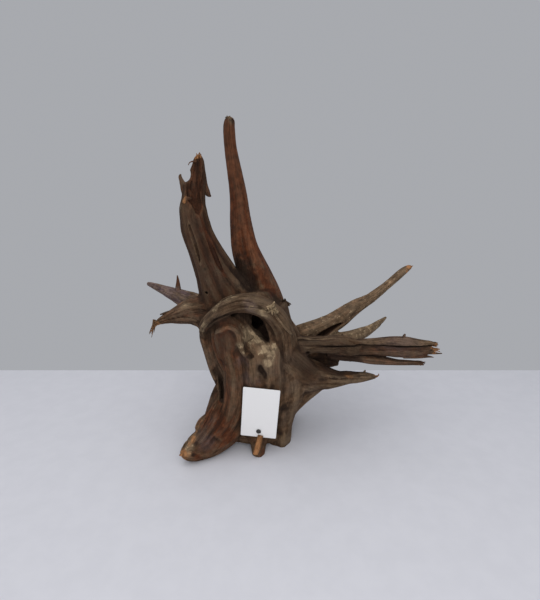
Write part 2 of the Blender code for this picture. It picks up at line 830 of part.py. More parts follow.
def make_driftwood():
    grown = [
        grow(name, stations, RING_SIDES, RING_SPACING, ROOT_FLUTES) for name, stations in ROOTS.items()
    ]
    for name, (count, thickness) in SINEWS.items():
        grown += sinews(name, ROOTS[name], count, thickness)
    wood = join(grown, "driftwood")
    remesh(wood, GROWTH_GRAIN)
    smooth(wood, SMOOTHING_ROUNDS)
    thin_to(wood, BODY_TRIANGLES)
    hollows = [
        grow(name, line, HOLLOW_SIDES, HOLLOW_SPACING, HOLLOW_FLUTES) for name, line in HOLLOWS.items()
    ]
    combine(wood, hollows, "DIFFERENCE")
    splinters = [
        grow(name, line, SPLINTER_SIDES, SPLINTER_SPACING, SPLINTER_FLUTES)
        for name, line in SPLINTERS.items()
    ]
    for name, described in TUFTS.items():
        splinters += tuft(name, *described)
    combine(wood, splinters, "UNION")
    slits = [grow(name, line, SLIT_SIDES, SLIT_SPACING, 0.0) for name, line in SLITS.items()]
    combine(wood, slits, "DIFFERENCE")
    ground = slab("ground", (-300, -300, -100), (300, 300, 0))
    combine(wood, [ground], "DIFFERENCE")
    keep_main_piece(wood)
    return wood


def tag_frame():
    """The tag's middle, with X across the card, Y up it and Z out of its printed face."""
    up = Vector(TAG_UP).normalized()
    across = Vector(TAG_ACROSS)
    across = (across - up * across.dot(up)).normalized()
    out = across.cross(up)
    turned = Matrix((across, up, out)).transposed().to_4x4()
    return Matrix.Scale(MM, 4) @ Matrix.Translation(TAG_MIDDLE) @ turned


def card(name, width, height, low, high, corner):
    """A card with rounded corners in the tag's frame, from one depth to another."""
    bm = bmesh.new()
    bmesh.ops.create_cube(bm, size=1.0)
    for vert in bm.verts:
        x, y, z = vert.co
        vert.co = (x * width, y * height, low if z < 0 else high)
    if corner:
        upright = [e for e in bm.edges if abs(e.verts[0].co.z - e.verts[1].co.z) > 1e-6]
        bmesh.ops.bevel(
            bm, geom=upright, offset=corner, segments=4, profile=0.5, affect="EDGES", material=-1
        )
    bm.transform(tag_frame())
    return as_object(bm, name)


def peg(name, profile, sides):
    """A turned peg in the tag's frame, on the line through the tag's hole."""
    bm = bmesh.new()
    points = [bm.verts.new((radius, 0, along)) for radius, along in profile]
    for first, second in zip(points, points[1:]):
        bm.edges.new((first, second))
    bmesh.ops.spin(
        bm, geom=bm.verts[:] + bm.edges[:], cent=(0, 0, 0), axis=(0, 0, 1), angle=math.tau, steps=sides
    )
    bmesh.ops.remove_doubles(bm, verts=bm.verts, dist=0.0001)
    bm.transform(tag_frame() @ Matrix.Translation((0, TAG_HOLE_UP - TAG_HEIGHT / 2, 0)))
    return as_object(bm, name)


def make_tag():
    tag = card("shop_tag", TAG_WIDTH, TAG_HEIGHT, -TAG_THICKNESS / 2, TAG_THICKNESS / 2, TAG_CORNER)
    punch = [(0, -3), (TAG_HOLE_RADIUS, -3), (TAG_HOLE_RADIUS, 3), (0, 3)]
    combine(tag, [peg("punch", punch, PEG_SIDES)], "DIFFERENCE")
    return tag


def make_tack():
    under = TAG_THICKNESS / 2 + CLEARANCE
    tip = under - TACK_SHANK_LENGTH
    rim = under + TACK_HEAD_RIM
    top = under + TACK_HEAD_HEIGHT
    profile = [(0, tip), (TACK_SHANK_RADIUS, tip + TACK_POINT_LENGTH), (TACK_SHANK_RADIUS, under)]
    profile += [(TACK_HEAD_RADIUS, under), (TACK_HEAD_RADIUS, rim)]
    for turn in (18, 36, 54, 72):
        turn = math.radians(turn)
        profile.append((TACK_HEAD_RADIUS * math.cos(turn), rim + (top - rim) * math.sin(turn)))
    profile.append((0, top))
    return peg("tag_tack", profile, PEG_SIDES)


def seat_the_tag(wood):
    """Flatten the wood behind the card, and bore it for the tack."""
    behind = -TAG_THICKNESS / 2 - CLEARANCE
    bed = card("bed", TAG_WIDTH + 2 * BED_MARGIN, TAG_HEIGHT + 2 * BED_MARGIN, behind, BED_REACH, 0)
    end = TAG_THICKNESS / 2 - TACK_SHANK_LENGTH
    bore = TACK_SHANK_RADIUS + CLEARANCE
    hole = peg("bore", [(0, end), (bore, end), (bore, BED_REACH), (0, BED_REACH)], PEG_SIDES)
    combine(wood, [bed, hole], "DIFFERENCE")


def centre_on_the_ground(pieces):
    """Move the pieces so that the middle of the box's bottom is the origin."""
    corners = [vert.co for piece in pieces for vert in piece.data.vertices]
    low = [min(c[axis] for c in corners) for axis in range(3)]
    high = [max(c[axis] for c in corners) for axis in range(3)]
    shift = Matrix.Translation((-(low[0] + high[0]) / 2, -(low[1] + high[1]) / 2, -low[2]))
    for piece in pieces:
        piece.data.transform(shift)


def main():
    clear_scene()
    wood = make_driftwood()
    seat_the_tag(wood)
    keep_main_piece(wood)
    tag = make_tag()
    tack = make_tack()
    paint(wood, "weathered_wood", (0.13, 0.085, 0.06), 0.85)
    paint(tag, "white_card", (0.8, 0.8, 0.79), 0.6)
    paint(tack, "dark_painted_steel", (0.02, 0.018, 0.016), 0.4)
    centre_on_the_ground([wood, tag, tack])


main()
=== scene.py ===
"""A driftwood root stump for an aquarium, with its blank shop tag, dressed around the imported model."""

import math
import random

import bmesh
import bpy
import numpy as np
from mathutils import Matrix, Vector, noise


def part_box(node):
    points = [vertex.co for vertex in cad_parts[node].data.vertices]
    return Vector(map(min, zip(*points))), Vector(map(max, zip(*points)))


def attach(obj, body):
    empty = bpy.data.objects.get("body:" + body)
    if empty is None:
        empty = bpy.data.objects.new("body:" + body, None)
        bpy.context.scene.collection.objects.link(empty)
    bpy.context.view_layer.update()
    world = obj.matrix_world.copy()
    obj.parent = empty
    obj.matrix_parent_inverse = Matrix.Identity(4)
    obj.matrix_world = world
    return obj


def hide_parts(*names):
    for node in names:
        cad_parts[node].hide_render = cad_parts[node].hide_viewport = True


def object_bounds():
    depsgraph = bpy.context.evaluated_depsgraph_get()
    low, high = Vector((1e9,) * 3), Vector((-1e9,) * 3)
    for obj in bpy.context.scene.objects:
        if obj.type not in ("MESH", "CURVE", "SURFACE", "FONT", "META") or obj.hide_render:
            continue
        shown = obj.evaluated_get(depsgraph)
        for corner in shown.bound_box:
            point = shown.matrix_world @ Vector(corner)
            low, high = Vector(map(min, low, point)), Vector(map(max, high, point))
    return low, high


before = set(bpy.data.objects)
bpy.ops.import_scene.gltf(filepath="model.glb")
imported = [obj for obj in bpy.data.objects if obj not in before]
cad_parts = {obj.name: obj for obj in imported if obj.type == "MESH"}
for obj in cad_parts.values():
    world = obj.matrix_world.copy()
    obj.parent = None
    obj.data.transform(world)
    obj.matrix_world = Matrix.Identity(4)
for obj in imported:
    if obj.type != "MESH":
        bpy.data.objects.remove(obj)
cad_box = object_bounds()

# The driftwood is the sun-bleached, water-worn stump of a tree root, all one piece of wood.
# It is grown along the lines of its roots in millimetres, hollowed where it rotted away,
# furrowed along its grain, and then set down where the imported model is.
# A root is a line of stations: x, y and z of its middle, then its half width as seen from the
# front and its half depth, where that is another.
scene = bpy.context.scene
MM = 0.001
THINNEST = 0.2
ROOTS = dict(
    trunk=[(-10, 0, 3, 22, 24), (-10, -1, 20, 33, 31), (-10, -2, 48, 43, 38), (-9, -2, 76, 48, 42),
        (-15, 0, 104, 51, 44), (-25, 0, 132, 49, 43), (-28, 2, 156, 42, 37), (-28, 4, 174, 30, 28)],
    spike=[(-2, 6, 118, 27, 26), (-8, 11, 158, 22), (-15, 13, 182, 18.5, 19), (-22, 14, 202, 16, 17),
        (-27, 15, 219, 14), (-31, 18, 246, 11, 12), (-33, 20, 271, 9.3, 10), (-37, 22, 296, 7.8, 8.5),
        (-41, 24, 320, 6.6, 7), (-42.5, 25, 340, 6.1, 6.4), (-41.5, 25, 348, 5.2, 5.4),
        (-41.5, 25, 351, 2.4, 2.6)],
    broken_limb=[(-35, -2, 140, 30, 26), (-46, -4, 168, 27, 24), (-53, -6, 184, 22.5, 21),
        (-58, -8, 198, 18.5, 18), (-64, -8, 211, 16.2, 16), (-69, -8, 224, 14.6, 15),
        (-73.3, -8, 236, 13.9, 14), (-76, -8, 248, 13.9, 13.5), (-77.5, -8, 260, 13.5, 13),
        (-76, -7, 270, 11.2, 12), (-74.6, -6, 281, 9.9, 11), (-72.6, -6, 291, 8.9, 9),
        (-70.9, -6, 299, 7, 8), (-70, -6, 306.5, 5.4, 6), (-69.8, -6, 312, 3, 4)],
    left_root=[(-40, -4, 140, 24, 22), (-60, -5, 148, 20, 18), (-75, -8, 152, 16, 14),
        (-85, -12, 153, 12.5, 12), (-95, -15, 151, 9.5), (-105, -18, 149, 6.5, 7),
        (-113, -20, 146.5, 4.6, 5), (-120, -22, 143, 3, 3.2), (-123, -22.5, 141, 2)],
    back_left_root=[(-50, 18, 135, 20, 16), (-76, 34, 143, 14, 12), (-93, 46, 148, 12, 9),
        (-108, 57, 151, 9.6, 8), (-120, 64, 154, 8, 6.5), (-132, 70, 157, 6.4, 5),
        (-143, 75, 160, 4.8, 4), (-152, 78, 162.6, 3.4, 3), (-157, 80, 163.8, 2.2, 2)],
    long_right_root=[(10, 18, 104, 18, 16), (24, 25, 107, 15, 14), (42, 34, 111.5, 13),
        (63, 43, 116, 12.4, 11.5), (79, 52, 121, 11.2, 10.5), (92, 59, 127, 10, 9.5),
        (101, 63, 132.5, 9.6, 9), (109, 66.5, 137, 8), (118, 70, 140.5, 6.6, 7), (128, 75, 145, 6.3, 6.5),
        (138, 80, 150.5, 6), (148, 86, 157, 5), (160, 92, 164.5, 5.6, 5.2), (172, 98, 173.5, 5.8, 5.2),
        (181, 102, 179, 4.6, 4.2), (187, 105, 180.5, 2.6, 2.5)],
    short_right_root=[(40, 20, 98, 14, 12), (70, 30, 101, 10.4, 9.5), (94, 39, 104.8, 8, 7.6),
        (108, 45, 107, 7.2, 7), (118, 50, 109.2, 6.7, 6), (128, 56.5, 112.2, 5.2),
        (138, 64, 115.8, 4.2, 4), (147, 71, 119.2, 2.5, 2.3), (150.5, 73.5, 120.8, 1.7, 1.6)],
    split_root=[(15, -10, 113, 17, 20), (33, -12, 114.3, 9.4, 18), (49, -12, 116, 7.2, 16),
        (63, -11, 115, 8.8, 14), (77, -10, 115, 10, 11), (88, -9, 110.5, 9.2, 10), (98, -7, 108.5, 7, 8)],
    lower_right_root=[(24, -12, 84, 25, 22), (40, -14, 80.5, 19, 18), (55, -13, 78.2, 14.2, 14),
        (67, -13, 76.8, 10.6, 12), (78, -12, 76.3, 7.6, 10), (87, -10, 76.8, 6.6, 9),
        (97, -8, 75.6, 5.7, 8), (107, -6, 75.4, 4.7, 7), (114, -5, 74.8, 3.1, 5),
        (119, -4, 74.5, 2.1, 3)],
    web_between_right_roots=[(30, 5, 98, 20, 14), (50, 8, 96, 18, 9), (68, 9, 94, 15, 6),
        (81, 9, 92, 11, 4)],
    arch=[(-64, -2, 118, 4, 7), (-70, -11, 130, 5, 9), (-67, -25, 143, 5.5, 10), (-55, -36, 157, 6.2, 12),
        (-42, -42, 167, 7.4, 13), (-28, -45, 171.5, 8.4, 13), (-14, -44, 169.5, 9, 13.5),
        (0, -41, 161.5, 9.6, 14.5), (10, -36, 148, 10, 15), (15, -30, 131, 11, 15),
        (17, -26, 112, 12, 15)],
    left_foot=[(-30, -8, 66, 26, 24), (-40, -15, 46, 27, 22), (-52, -27, 27, 23, 19),
        (-64, -38, 16, 18, 16), (-74, -46, 13, 14.5, 13), (-82, -52.5, 13, 12, 11),
        (-88, -57, 13.5, 8.6, 8.5), (-91.5, -60, 14, 4.6, 5)],
    left_edge_strand=[(-66, -8, 138, 8, 12), (-67, -10, 126, 9, 12), (-65, -11, 114, 8, 12),
        (-59, -14, 92, 8, 12), (-53, -19, 76, 7, 12), (-50, -24, 66, 7, 11), (-54, -31, 55, 8, 10),
        (-62.5, -39, 41, 8, 9), (-70.5, -46, 30, 7, 8), (-80, -52, 20, 6, 7)],
    front_left_strand=[(-40, -33, 138, 9, 12), (-38, -36, 122, 12), (-35, -37, 92, 12, 11),
        (-38, -37, 62, 12), (-46, -38, 38, 11), (-58, -44, 24, 9)],
    front_strand=[(-14, -36, 130, 10, 12), (-8, -42, 120, 17, 11), (-7, -41, 100, 18, 10),
        (-8, -37, 66, 19, 9), (-11, -33, 36, 17, 9), (-12, -33, 16, 11, 9), (-12.5, -39, 4, 7.5, 8),
        (-12.5, -41, -3, 6.5, 7)],
    right_strand=[(8, -30, 118, 15, 11), (24, -28, 100, 18, 12), (42, -21, 84, 15, 11),
        (60, -14, 78, 10)],
    right_base=[(14, -20, 100, 22, 20), (20, -18, 74, 20), (16, -14, 48, 17, 18), (12, -12, 24, 14, 16.5),
        (11.5, -12.5, 8, 13.3, 17), (11, -12.5, -3, 12.5, 16.5)],
    back_left_foot=[(-32, 12, 64, 24, 22), (-39, 27, 36, 18, 16), (-46, 38, 13, 13, 12),
        (-49, 43, -3, 10)],
    back_right_foot=[(2, 10, 64, 22), (11, 24, 34, 16, 15), (18, 36, 11, 11.5, 11), (21, 40, -3, 9)],
    back_strand=[(-31, 22, 226, 5), (-27, 24, 204, 9, 8), (-25, 29, 178, 12, 11), (-30, 34, 140, 13, 11),
        (-34, 36, 104, 13, 11), (-38, 34, 66, 12, 10), (-46, 38, 30, 9, 8)],
    back_right_strand=[(-18, 18, 208, 5, 6), (-8, 24, 184, 9), (3, 28, 152, 12, 11),
        (10, 33, 118, 13, 11), (8, 34, 84, 12, 10), (14, 34, 48, 10, 9), (19, 38, 16, 8)],
    front_skirt=[(-44, -24, 20, 12, 10), (-30, -26, 16, 11, 9), (-14, -27, 15, 11, 9),
        (2, -22, 14, 11, 9), (14, -16, 14, 11, 9)],
    fold_under_the_arch=[(-54, -42, 141, 1.8, 3), (-47.5, -46, 145, 2.2, 3.4),
        (-41, -47, 147.8, 2.4, 3.6), (-35.5, -48, 146.5, 2.3, 3.6), (-31.5, -48.5, 141, 2.3, 3.6),
        (-29.5, -48.5, 131, 2.3, 3.6), (-26.5, -48, 121, 2.2, 3.4), (-20, -47, 113.5, 1.6, 3)],
    right_shoulder=[(0, -14, 160, 17, 22), (6, -14, 140, 16, 22), (9, -14, 118, 17, 20),
        (14, -12, 96, 18)],
    foot_knob_high=[(-66, -35, 45, 3, 4), (-72.5, -41, 39, 5.2, 6), (-78, -47, 33, 3, 4)],
    foot_knob_low=[(-77, -48, 30, 3, 4), (-82, -52, 23, 5, 6), (-88, -57, 16, 4, 5)],
    left_flank_strand=[(-60, 14, 132, 9, 8), (-60, 12, 108, 9, 8), (-54, 12, 82, 9, 8),
        (-50, 16, 58, 9, 8), (-50, 30, 30, 7)],
    right_flank_strand=[(30, 10, 108, 9), (30, 6, 88, 10, 9), (27, 4, 64, 10, 9), (24, 2, 40, 9),
        (20, 0, 18, 7, 8)],
    right_gusset=[(60, -13, 74, 7, 8), (49.6, -14, 68.2, 9, 10), (36.2, -15, 57.6, 9, 12),
        (25.3, -14, 45.3, 9, 13), (18, -12, 32, 8, 12)],
    face_under_the_arch=[(-45, -34, 152, 9), (-41, -37, 143, 15, 11), (-39, -38, 130, 17, 11),
        (-38, -37, 112, 15, 9)],
)

# Of a root: how many sinews stand out on it, their thickness as a share of its half width, how
# furrowed it is, how reddish, bleached and freshly torn, and how much darker wood and painted
# shade darken it. OTHERS is for the rest.
HABITS = dict(
    trunk=(15, 0.13, 0.4, 0.15, 0.05, 0, 0.2), spike=(4, 0.14, 0.2, 0.85, 0, 0, 0),
    broken_limb=(8, 0.24, 0.5, 0.4, 0, 0, 0.5), left_root=(6, 0.26, 1, 0.35, 0.1, 0, 0.12),
    back_left_root=(5, 0.26, 0.7, 0.12, 0.35, 0, 0), long_right_root=(6, 0.26, 0.55, 0.3, 0.48, 0.1, 0),
    short_right_root=(4, 0.26, 0.5, 0.1, 0.58, 0.1, 0), split_root=(6, 0.2, 0.8, 0.2, 0.02, 0, 0.5),
    lower_right_root=(6, 0.22, 0.7, 0.05, 0.15, 0.05, 0), arch=(6, 0.24, 0.85, 0.12, 0.14, 0, 0.3),
    left_foot=(7, 0.16, 0.3, 0.42, 0.05, 0, 0.06), front_left_strand=(4, 0.3, 0.35, 0.45, 0, 0, 0),
    front_strand=(4, 0.26, 0.25, 0.2, 0.03, 0, 0.15), right_shoulder=(5, 0.2, 0.3, 0.2, 0.02, 0, 0.45),
    right_base=(6, 0.2, 0.35, 0.05, 0.28, 0, 0), back_left_foot=(5, 0.24, 1, 0.1, 0.1, 0, 0),
    back_right_foot=(5, 0.24, 1, 0.1, 0.1, 0, 0), right_strand=(0, 0, 0.3, 0.28, 0.02, 0, 0.6),
    right_gusset=(0, 0, 0.3, 0.1, 0.1, 0, 0), face_under_the_arch=(0, 0, 0.4, 0.5, 0, 0, 0.5),
    left_edge_strand=(0, 0, 1.3, 0.35, 0, 0, 0.2), fold_under_the_arch=(0, 0, 1, 0.3, 0.18, 0, 0),
    foot_knob_high=(0, 0, 1, 0.2, 0.2, 0.5, 0), foot_knob_low=(0, 0, 1, 0.2, 0.2, 0.5, 0),
    web_between_right_roots=(0, 0, 1, 0.3, 0, 0, 0.4), split_top=(0, 0, 1, 0.1, 0.12, 0, 0.1),
    split_middle=(0, 0, 1, 0.35, 0.02, 0, 0.32), split_lower_tip=(0, 0, 1, 0.5, 0, 0.1, 0),
    split_bottom=(0, 0, 1, 0.4, 0.02, 0, 0.2), limb_horn=(0, 0, 1, 0.4, 0, 0, 0.1),
    limb_spur=(0, 0, 1, 0.5, 0, 0, 0.45), limb_torn_lip=(0, 0, 1, 0.1, 0, 0.75, 0),
    back_left_spur=(0, 0, 1, 0.8, 0, 0.1, 0), shoulder_ridge=(0, 0, 1, 0.1, 0.45, 0, 0),
    sleeve_rim=(0, 0, 1, 0, 0.35, 0, 0), front_stub_chip=(0, 0, 1, 0, 0.1, 1, 0),
    left_root_hook=(0, 0, 1, 0.1, 0, 0, 0.6),
)
OTHERS = (0, 0, 1, 0.1, 0.1, 0, 0)
SINEW_SWELL = (0.55, 0.9, 1, 1, 1, 0.9, 0.55)
SINEW_SINKING = 0.93

# What rot and water took out of the wood: how reddish, bleached and torn the wall of each
# hollow is and how much painted shade darkens it, where it has a tone of its own, and the
# hollow's stations.
HOLLOWS = dict(
    under_the_arch=((0.1, 0, 0, 0.75), [(-66, -42, 141, 0.8, 3), (-57, -47, 152.5, 1, 4),
        (-46.5, -50, 159, 1.3, 5), (-35.6, -51, 161.2, 1.5, 7), (-26, -50, 160, 2, 9),
        (-20.5, -47, 157, 2.8, 12), (-14, -44, 151, 4.2, 16), (-8.7, -40, 143.5, 4.3, 18),
        (-4.5, -38, 136.5, 3, 14), (-1.5, -37, 132, 1.2, 6)]),
    pocket_mouth=((0.4, 0, 0, 0.7), [(87, -14, 89.5, 6, 9), (79, -16, 92, 8, 11), (70, -19, 95.5, 8, 12),
        (61, -21, 99.5, 7, 12), (53, -22, 104.5, 5, 10), (47.5, -23, 109, 2.6, 7)]),
    lower_lip_of_the_slit=((0.2, 0, 0, 0.8), [(-33, -41, 157, 0.5, 3), (-27, -41, 154.5, 1.2, 4),
        (-21, -41, 150, 2, 5), (-16.5, -42, 145.5, 2.2, 6), (-12.5, -43, 140, 1.8, 5),
        (-9.5, -44, 136.5, 0.8, 4)]),
    into_the_trunk=((0.2, 0, 0, 1), [(-9.5, -42, 145, 4), (-13, -28, 148, 8), (-17, -12, 147, 9),
        (-22, 2, 143, 5)]),
    pocket_between_right_roots=((0.4, 0, 0, 0.85), [(92, -8, 91.5, 9), (83, -12, 93.5, 8, 10),
        (72, -15, 97, 7, 11), (62.8, -17, 100.7, 6.2, 12), (53.6, -19, 106, 5, 11),
        (46.5, -20, 111.2, 2.6, 8), (43.5, -21, 113.5, 1, 4)]),
    broken_limb_throat=((0.6, 0, 0, 0.3), [(-70, -21, 256, 2, 3), (-71, -18, 262, 5, 6),
        (-74.5, -16, 270, 6.2, 8), (-75, -15, 284, 6.8, 10), (-72.8, -15, 298, 5.8, 10),
        (-70.5, -15, 318, 5, 10)]),
    under_the_stump=((0.1, 0, 0, 0.6), [(-12, -24, -4, 13, 9), (-14, -8, 0, 24, 17), (-14, 10, 0, 24, 17),
        (-14, 34, -4, 15, 10)]),
    behind_the_left_edge=((0.2, 0, 0, 0.8), [(-63, -33, 118, 0.8, 3), (-60, -33, 106, 1.4, 5),
        (-56, -33, 93, 2, 7), (-52, -33, 79, 2.8, 9), (-51, -36, 64, 2.2, 7)]),
    limb_groove=((0.2, 0, 0, 0.2), [(-80, -22, 248, 0.9, 2.4), (-78, -22.5, 240, 1.5, 3),
        (-74.5, -23, 228, 1.7, 3.2), (-71, -23.5, 215, 1.5, 3), (-69, -24, 206, 0.8, 2.4)]),
    long_root_crack=((0.4, 0, 0, 0.6), [(38, 20, 104, 1.6, 5), (50, 28, 107.5, 2.6, 7),
        (64, 36, 113, 3.2, 8), (78, 43, 118.5, 2.2, 7), (86, 48, 121, 1.2, 4)]),
    limb_foot_hole=((0, 0, 0, 0.5), [(-65, -28, 177.5, 1.4, 1.1), (-64, -21, 177, 2.6, 1.8),
        (-62.5, -14, 175.5, 1.6, 1.2)]),
    front_dent=((0, 0, 0, 0.6), [(-10, -56, 109, 1.2, 2.6), (-9.5, -52, 104.5, 3, 4.4),
        (-6, -52, 98, 3, 4.6), (-5, -53, 93, 1.6, 3.4)]),
    limb_red_groove=((0.7, 0, 0, 0.4), [(-69, -21, 256, 0.8, 2), (-64, -22, 242, 1.6, 4),
        (-59, -23, 225, 2.2, 6), (-53, -24, 209, 2.2, 6), (-48, -27, 199, 1.2, 5),
        (-43, -29, 191, 0.6, 3)]),
    limb_edge_crack=((0.2, 0, 0, 0.8), [(-46, -19, 209, 0.5, 2), (-41, -21, 203, 0.9, 3),
        (-31, -25, 192, 1, 3.5), (-21, -29, 181, 0.8, 3), (-16, -31, 176, 0.4, 2)]),
    second_left_groove=((0.6, 0, 0, 0.5), [(-58, -44, 132, 0.6, 2), (-53.5, -45, 122, 1, 3),
        (-50, -46, 106, 1.1, 3), (-46, -47, 88, 1.2, 3), (-43, -47, 70, 0.7, 2)]),
    limb_pit=((0, 0, 0, 0.8), [(-65, -27, 201.5, 0.9, 0.8), (-64, -22, 201, 1.5, 1.2),
        (-63, -18, 200, 0.8)]),
    sleeve_pit=((0, 0, 0, 0.9), [(39.8, -34, 113.5, 1.4, 1), (39.6, -28, 113, 2, 1.4),
        (39.2, -22, 112.5, 1)]),
    toe_crack=((0.9, 0, 0, 0.3), [(-85, -62, 23, 0.8, 2.4), (-81, -63, 17, 1.4, 3),
        (-77, -63, 12, 1.6, 3.2), (-72, -61, 7, 1, 3)]),
    toe_notch=((0.1, 0.5, 0.4, 0), [(-101, -60, 15, 5.8, 12), (-97, -59, 19, 6.2, 12),
        (-89, -56, 28, 5.8, 12)]),
    notch_beside_the_horn=(None, [(-83, -20, 295.5, 3.9, 10), (-83, -4, 295.5, 3.9, 10),
        (-83, 12, 295.5, 3.9, 10)]),
    trough_beside_the_fold=(None, [(-26.5, -52, 143, 1.8, 3.6), (-25, -52, 134, 3, 5),
        (-23, -52, 125, 3, 5), (-16.5, -52, 117, 2, 4)]),
)

# Strips and splinters that the wood broke into.
SPLINTERS = dict(
    split_top=[(60, -10, 117, 7, 10), (72, -9, 118.5, 6, 9.5), (80, -8, 119.6, 5.8, 9),
        (90, -7, 117.6, 3.8, 7.5), (99, -6, 116.6, 2.9, 6.5), (116, -6, 117, 3.9, 6.5),
        (132, -5, 116.6, 5, 6.5), (149, -5, 116.3, 5.3, 6), (166, -5, 114.9, 3.6, 5),
        (178, -5, 114.4, 2.2, 3), (184, -5, 112.8, 1.4, 1.6)],
    split_middle=[(62, -9, 109, 8, 9), (83, -8, 108, 6.4, 9), (99, -7, 108.2, 6.4, 8),
        (116, -6, 107.3, 6.5, 7.5), (133, -6, 105.9, 6.4, 7), (150, -5.5, 104.8, 6.3, 6.5),
        (162, -5, 104.8, 6.4, 5.5), (173, -5, 106.5, 4.8, 4), (180, -5, 107, 3.4, 2.6),
        (183.5, -5, 106.6, 2.2, 1.6)],
    split_bottom=[(66, -8, 103, 5, 8), (83, -8, 99.6, 3.4, 7), (94, -7, 98.3, 4, 6.5),
        (103, -7, 97, 4.6, 6), (111, -7, 96, 5, 6), (125, -6, 94.4, 4.8, 5.5), (141, -6, 92.6, 3.6, 4.5),
        (157, -5, 91.5, 3, 3.8), (167, -5, 91.2, 2.8, 3.4), (171, -5, 91.3, 2.4, 2.6)],
    limb_horn=[(-80, -6, 268, 6, 4), (-84.3, -8, 278, 4, 3.4), (-86.8, -9.5, 286, 2.5, 2.8),
        (-88.2, -10, 290.5, 1.7, 2), (-87.4, -10, 293.6, 0.8)],
    split_lower_tip=[(148, -6, 100.6, 3, 5), (165, -6, 99.9, 2.4, 3.5), (176, -5, 99, 1.3, 1.6),
        (183, -5, 98, 0.5, 0.6)],
)

# The open slits between the strips of the split root: the tone of each wall, darkened mostly
# with painted shade, and the slit's stations.
SLITS = dict(
    upper_slit=((0, 0, 0, 0.9), [(46, -29, 119.8, 0.4, 2), (58, -25, 118.6, 0.8, 4),
        (77, -18, 117, 0.8, 4.5), (98, -12.5, 115.6, 0.7, 4), (115, -11, 114.7, 0.7, 4),
        (131, -10, 113.4, 0.9, 4), (147, -9.5, 112.2, 1.1, 4), (164, -8.5, 112.6, 0.9, 4),
        (180, -7, 113.2, 0.6, 3)]),
    lower_slit=((0.2, 0, 0, 0.8), [(80, -16, 103.6, 0.4, 2), (90, -13.5, 103.4, 0.6, 3.5),
        (99, -13, 103, 0.7, 4), (115, -11, 101.6, 0.8, 4), (131, -10, 100.1, 1, 4.5),
        (141, -9, 98, 1.2, 5)]),
)


def steps_along(stations):
    """The distances from each station to the next."""
    places = [Vector(s[:3]) for s in stations]
    return [(b - a).length for a, b in zip(places, places[1:])]


def station_at(stations, share):
    """The station at a share of the way along, on a smooth curve through all of them."""
    steps = steps_along(stations)
    reach = share * sum(steps)
    last = len(steps) - 1
    index = 0
    while index < last and reach > steps[index]:
        reach -= steps[index]
        index += 1
    t = min(1.0, reach / steps[index])
    around = [stations[min(last + 1, max(0, index + step))] for step in (-1, 0, 1, 2)]
    return [
        0.5
        * (2 * q + (r - p) * t + (2 * p - 5 * q + 4 * r - s) * t**2 + (3 * q - p - 3 * r + s) * t**3)
        for p, q, r, s in zip(*[(*station, station[3])[:5] for station in around])
    ]


def frame_along(stations, share):
    """Middle, across and deep directions, half width and half depth at a share of the way along."""
    x, y, z, width, depth = station_at(stations, share)
    ahead = Vector(station_at(stations, min(1.0, share + 0.02))[:3])
    behind = Vector(station_at(stations, max(0.0, share - 0.02))[:3])
    heading = (ahead - behind).normalized()
    deep = Vector((0, 1, 0)) - heading * heading.y
    if deep.length < 0.35:
        deep = Vector((0, 0, 1)) - heading * heading.z
    deep.normalize()
    across = deep.cross(heading)
    return Vector((x, y, z)), across, deep, max(THINNEST, width), max(THINNEST, depth)


def fluting(seed, strength):
    """How far a root's skin stands in or out, by the angle round it and the way along."""
    draw = random.Random(seed)
    flutes = [
        (lobes, weight, draw.uniform(0, math.tau), draw.uniform(-0.012, 0.012))
        for lobes, weight in ((2, 0.35), (3, 0.45), (5, 0.5), (7, 0.3))
    ]

    def swell(angle, along):
        return 1 + strength * sum(
            weight * math.cos(lobes * angle + phase + lobes * drift * along)
            for lobes, weight, phase, drift in flutes
        )

    return swell


def grow(whole, name, stations, sides, spacing, flute):
    """Add one root to a mesh: a ball drawn out along its line, with its faces turned out."""
    length = sum(steps_along(stations))
    rings = max(3, round(length / spacing)) + 1
    swell = fluting(name, flute)
    frames = [frame_along(stations, ring / (rings - 1)) for ring in range(rings)]
    bm = bmesh.new()
    bmesh.ops.create_uvsphere(bm, u_segments=sides, v_segments=rings + 1, radius=1.0)
    for vert in bm.verts:
        ring = round(math.acos(max(-1.0, min(1.0, vert.co.z))) / math.pi * (rings + 1))
        angle = math.atan2(vert.co.y, vert.co.x)
        own = min(rings - 1, max(0, ring - 1))
        middle, across, deep, width, depth = frames[own]
        out = 0.0 if ring in (0, rings + 1) else swell(angle, own / (rings - 1) * length)
        rim = across * math.cos(angle) * width + deep * math.sin(angle) * depth
        vert.co = middle + rim * out
    bmesh.ops.reverse_faces(bm, faces=bm.faces)
    part = bpy.data.meshes.new(name)
    bm.to_mesh(part)
    bm.free()
    whole.from_mesh(part)
    bpy.data.meshes.remove(part)


def grow_sinews(whole, name, stations, count, thickness):
    """Add the strands of grown-over grain along a root."""
    draw = random.Random("sinews " + name)
    for number in range(count):
        angle = math.tau * (number + draw.uniform(-0.3, 0.3)) / count
        start, end = draw.uniform(0.02, 0.3), draw.uniform(0.7, 0.97)
        drift = draw.uniform(-0.5, 0.5)
        path = []
        for step, swell in enumerate(SINEW_SWELL):
            way = step / (len(SINEW_SWELL) - 1)
            share = start + (end - start) * way
            middle, across, deep, width, depth = frame_along(stations, share)
            turned = angle + drift * way + draw.uniform(-0.08, 0.08)
            rim = across * math.cos(turned) * width + deep * math.sin(turned) * depth
            own = min(width, depth) * thickness * swell
            path.append((*(middle + rim * SINEW_SINKING), own, own))
        grow(whole, f"{name} sinew {number}", path, *SINEW_MAKE)


def made_from(bm, name):
    """The shape as an object in the scene."""
    mesh = bpy.data.meshes.new(name)
    bm.to_mesh(mesh)
    bm.free()
    obj = bpy.data.objects.new(name, mesh)
    scene.collection.objects.link(obj)
    return obj


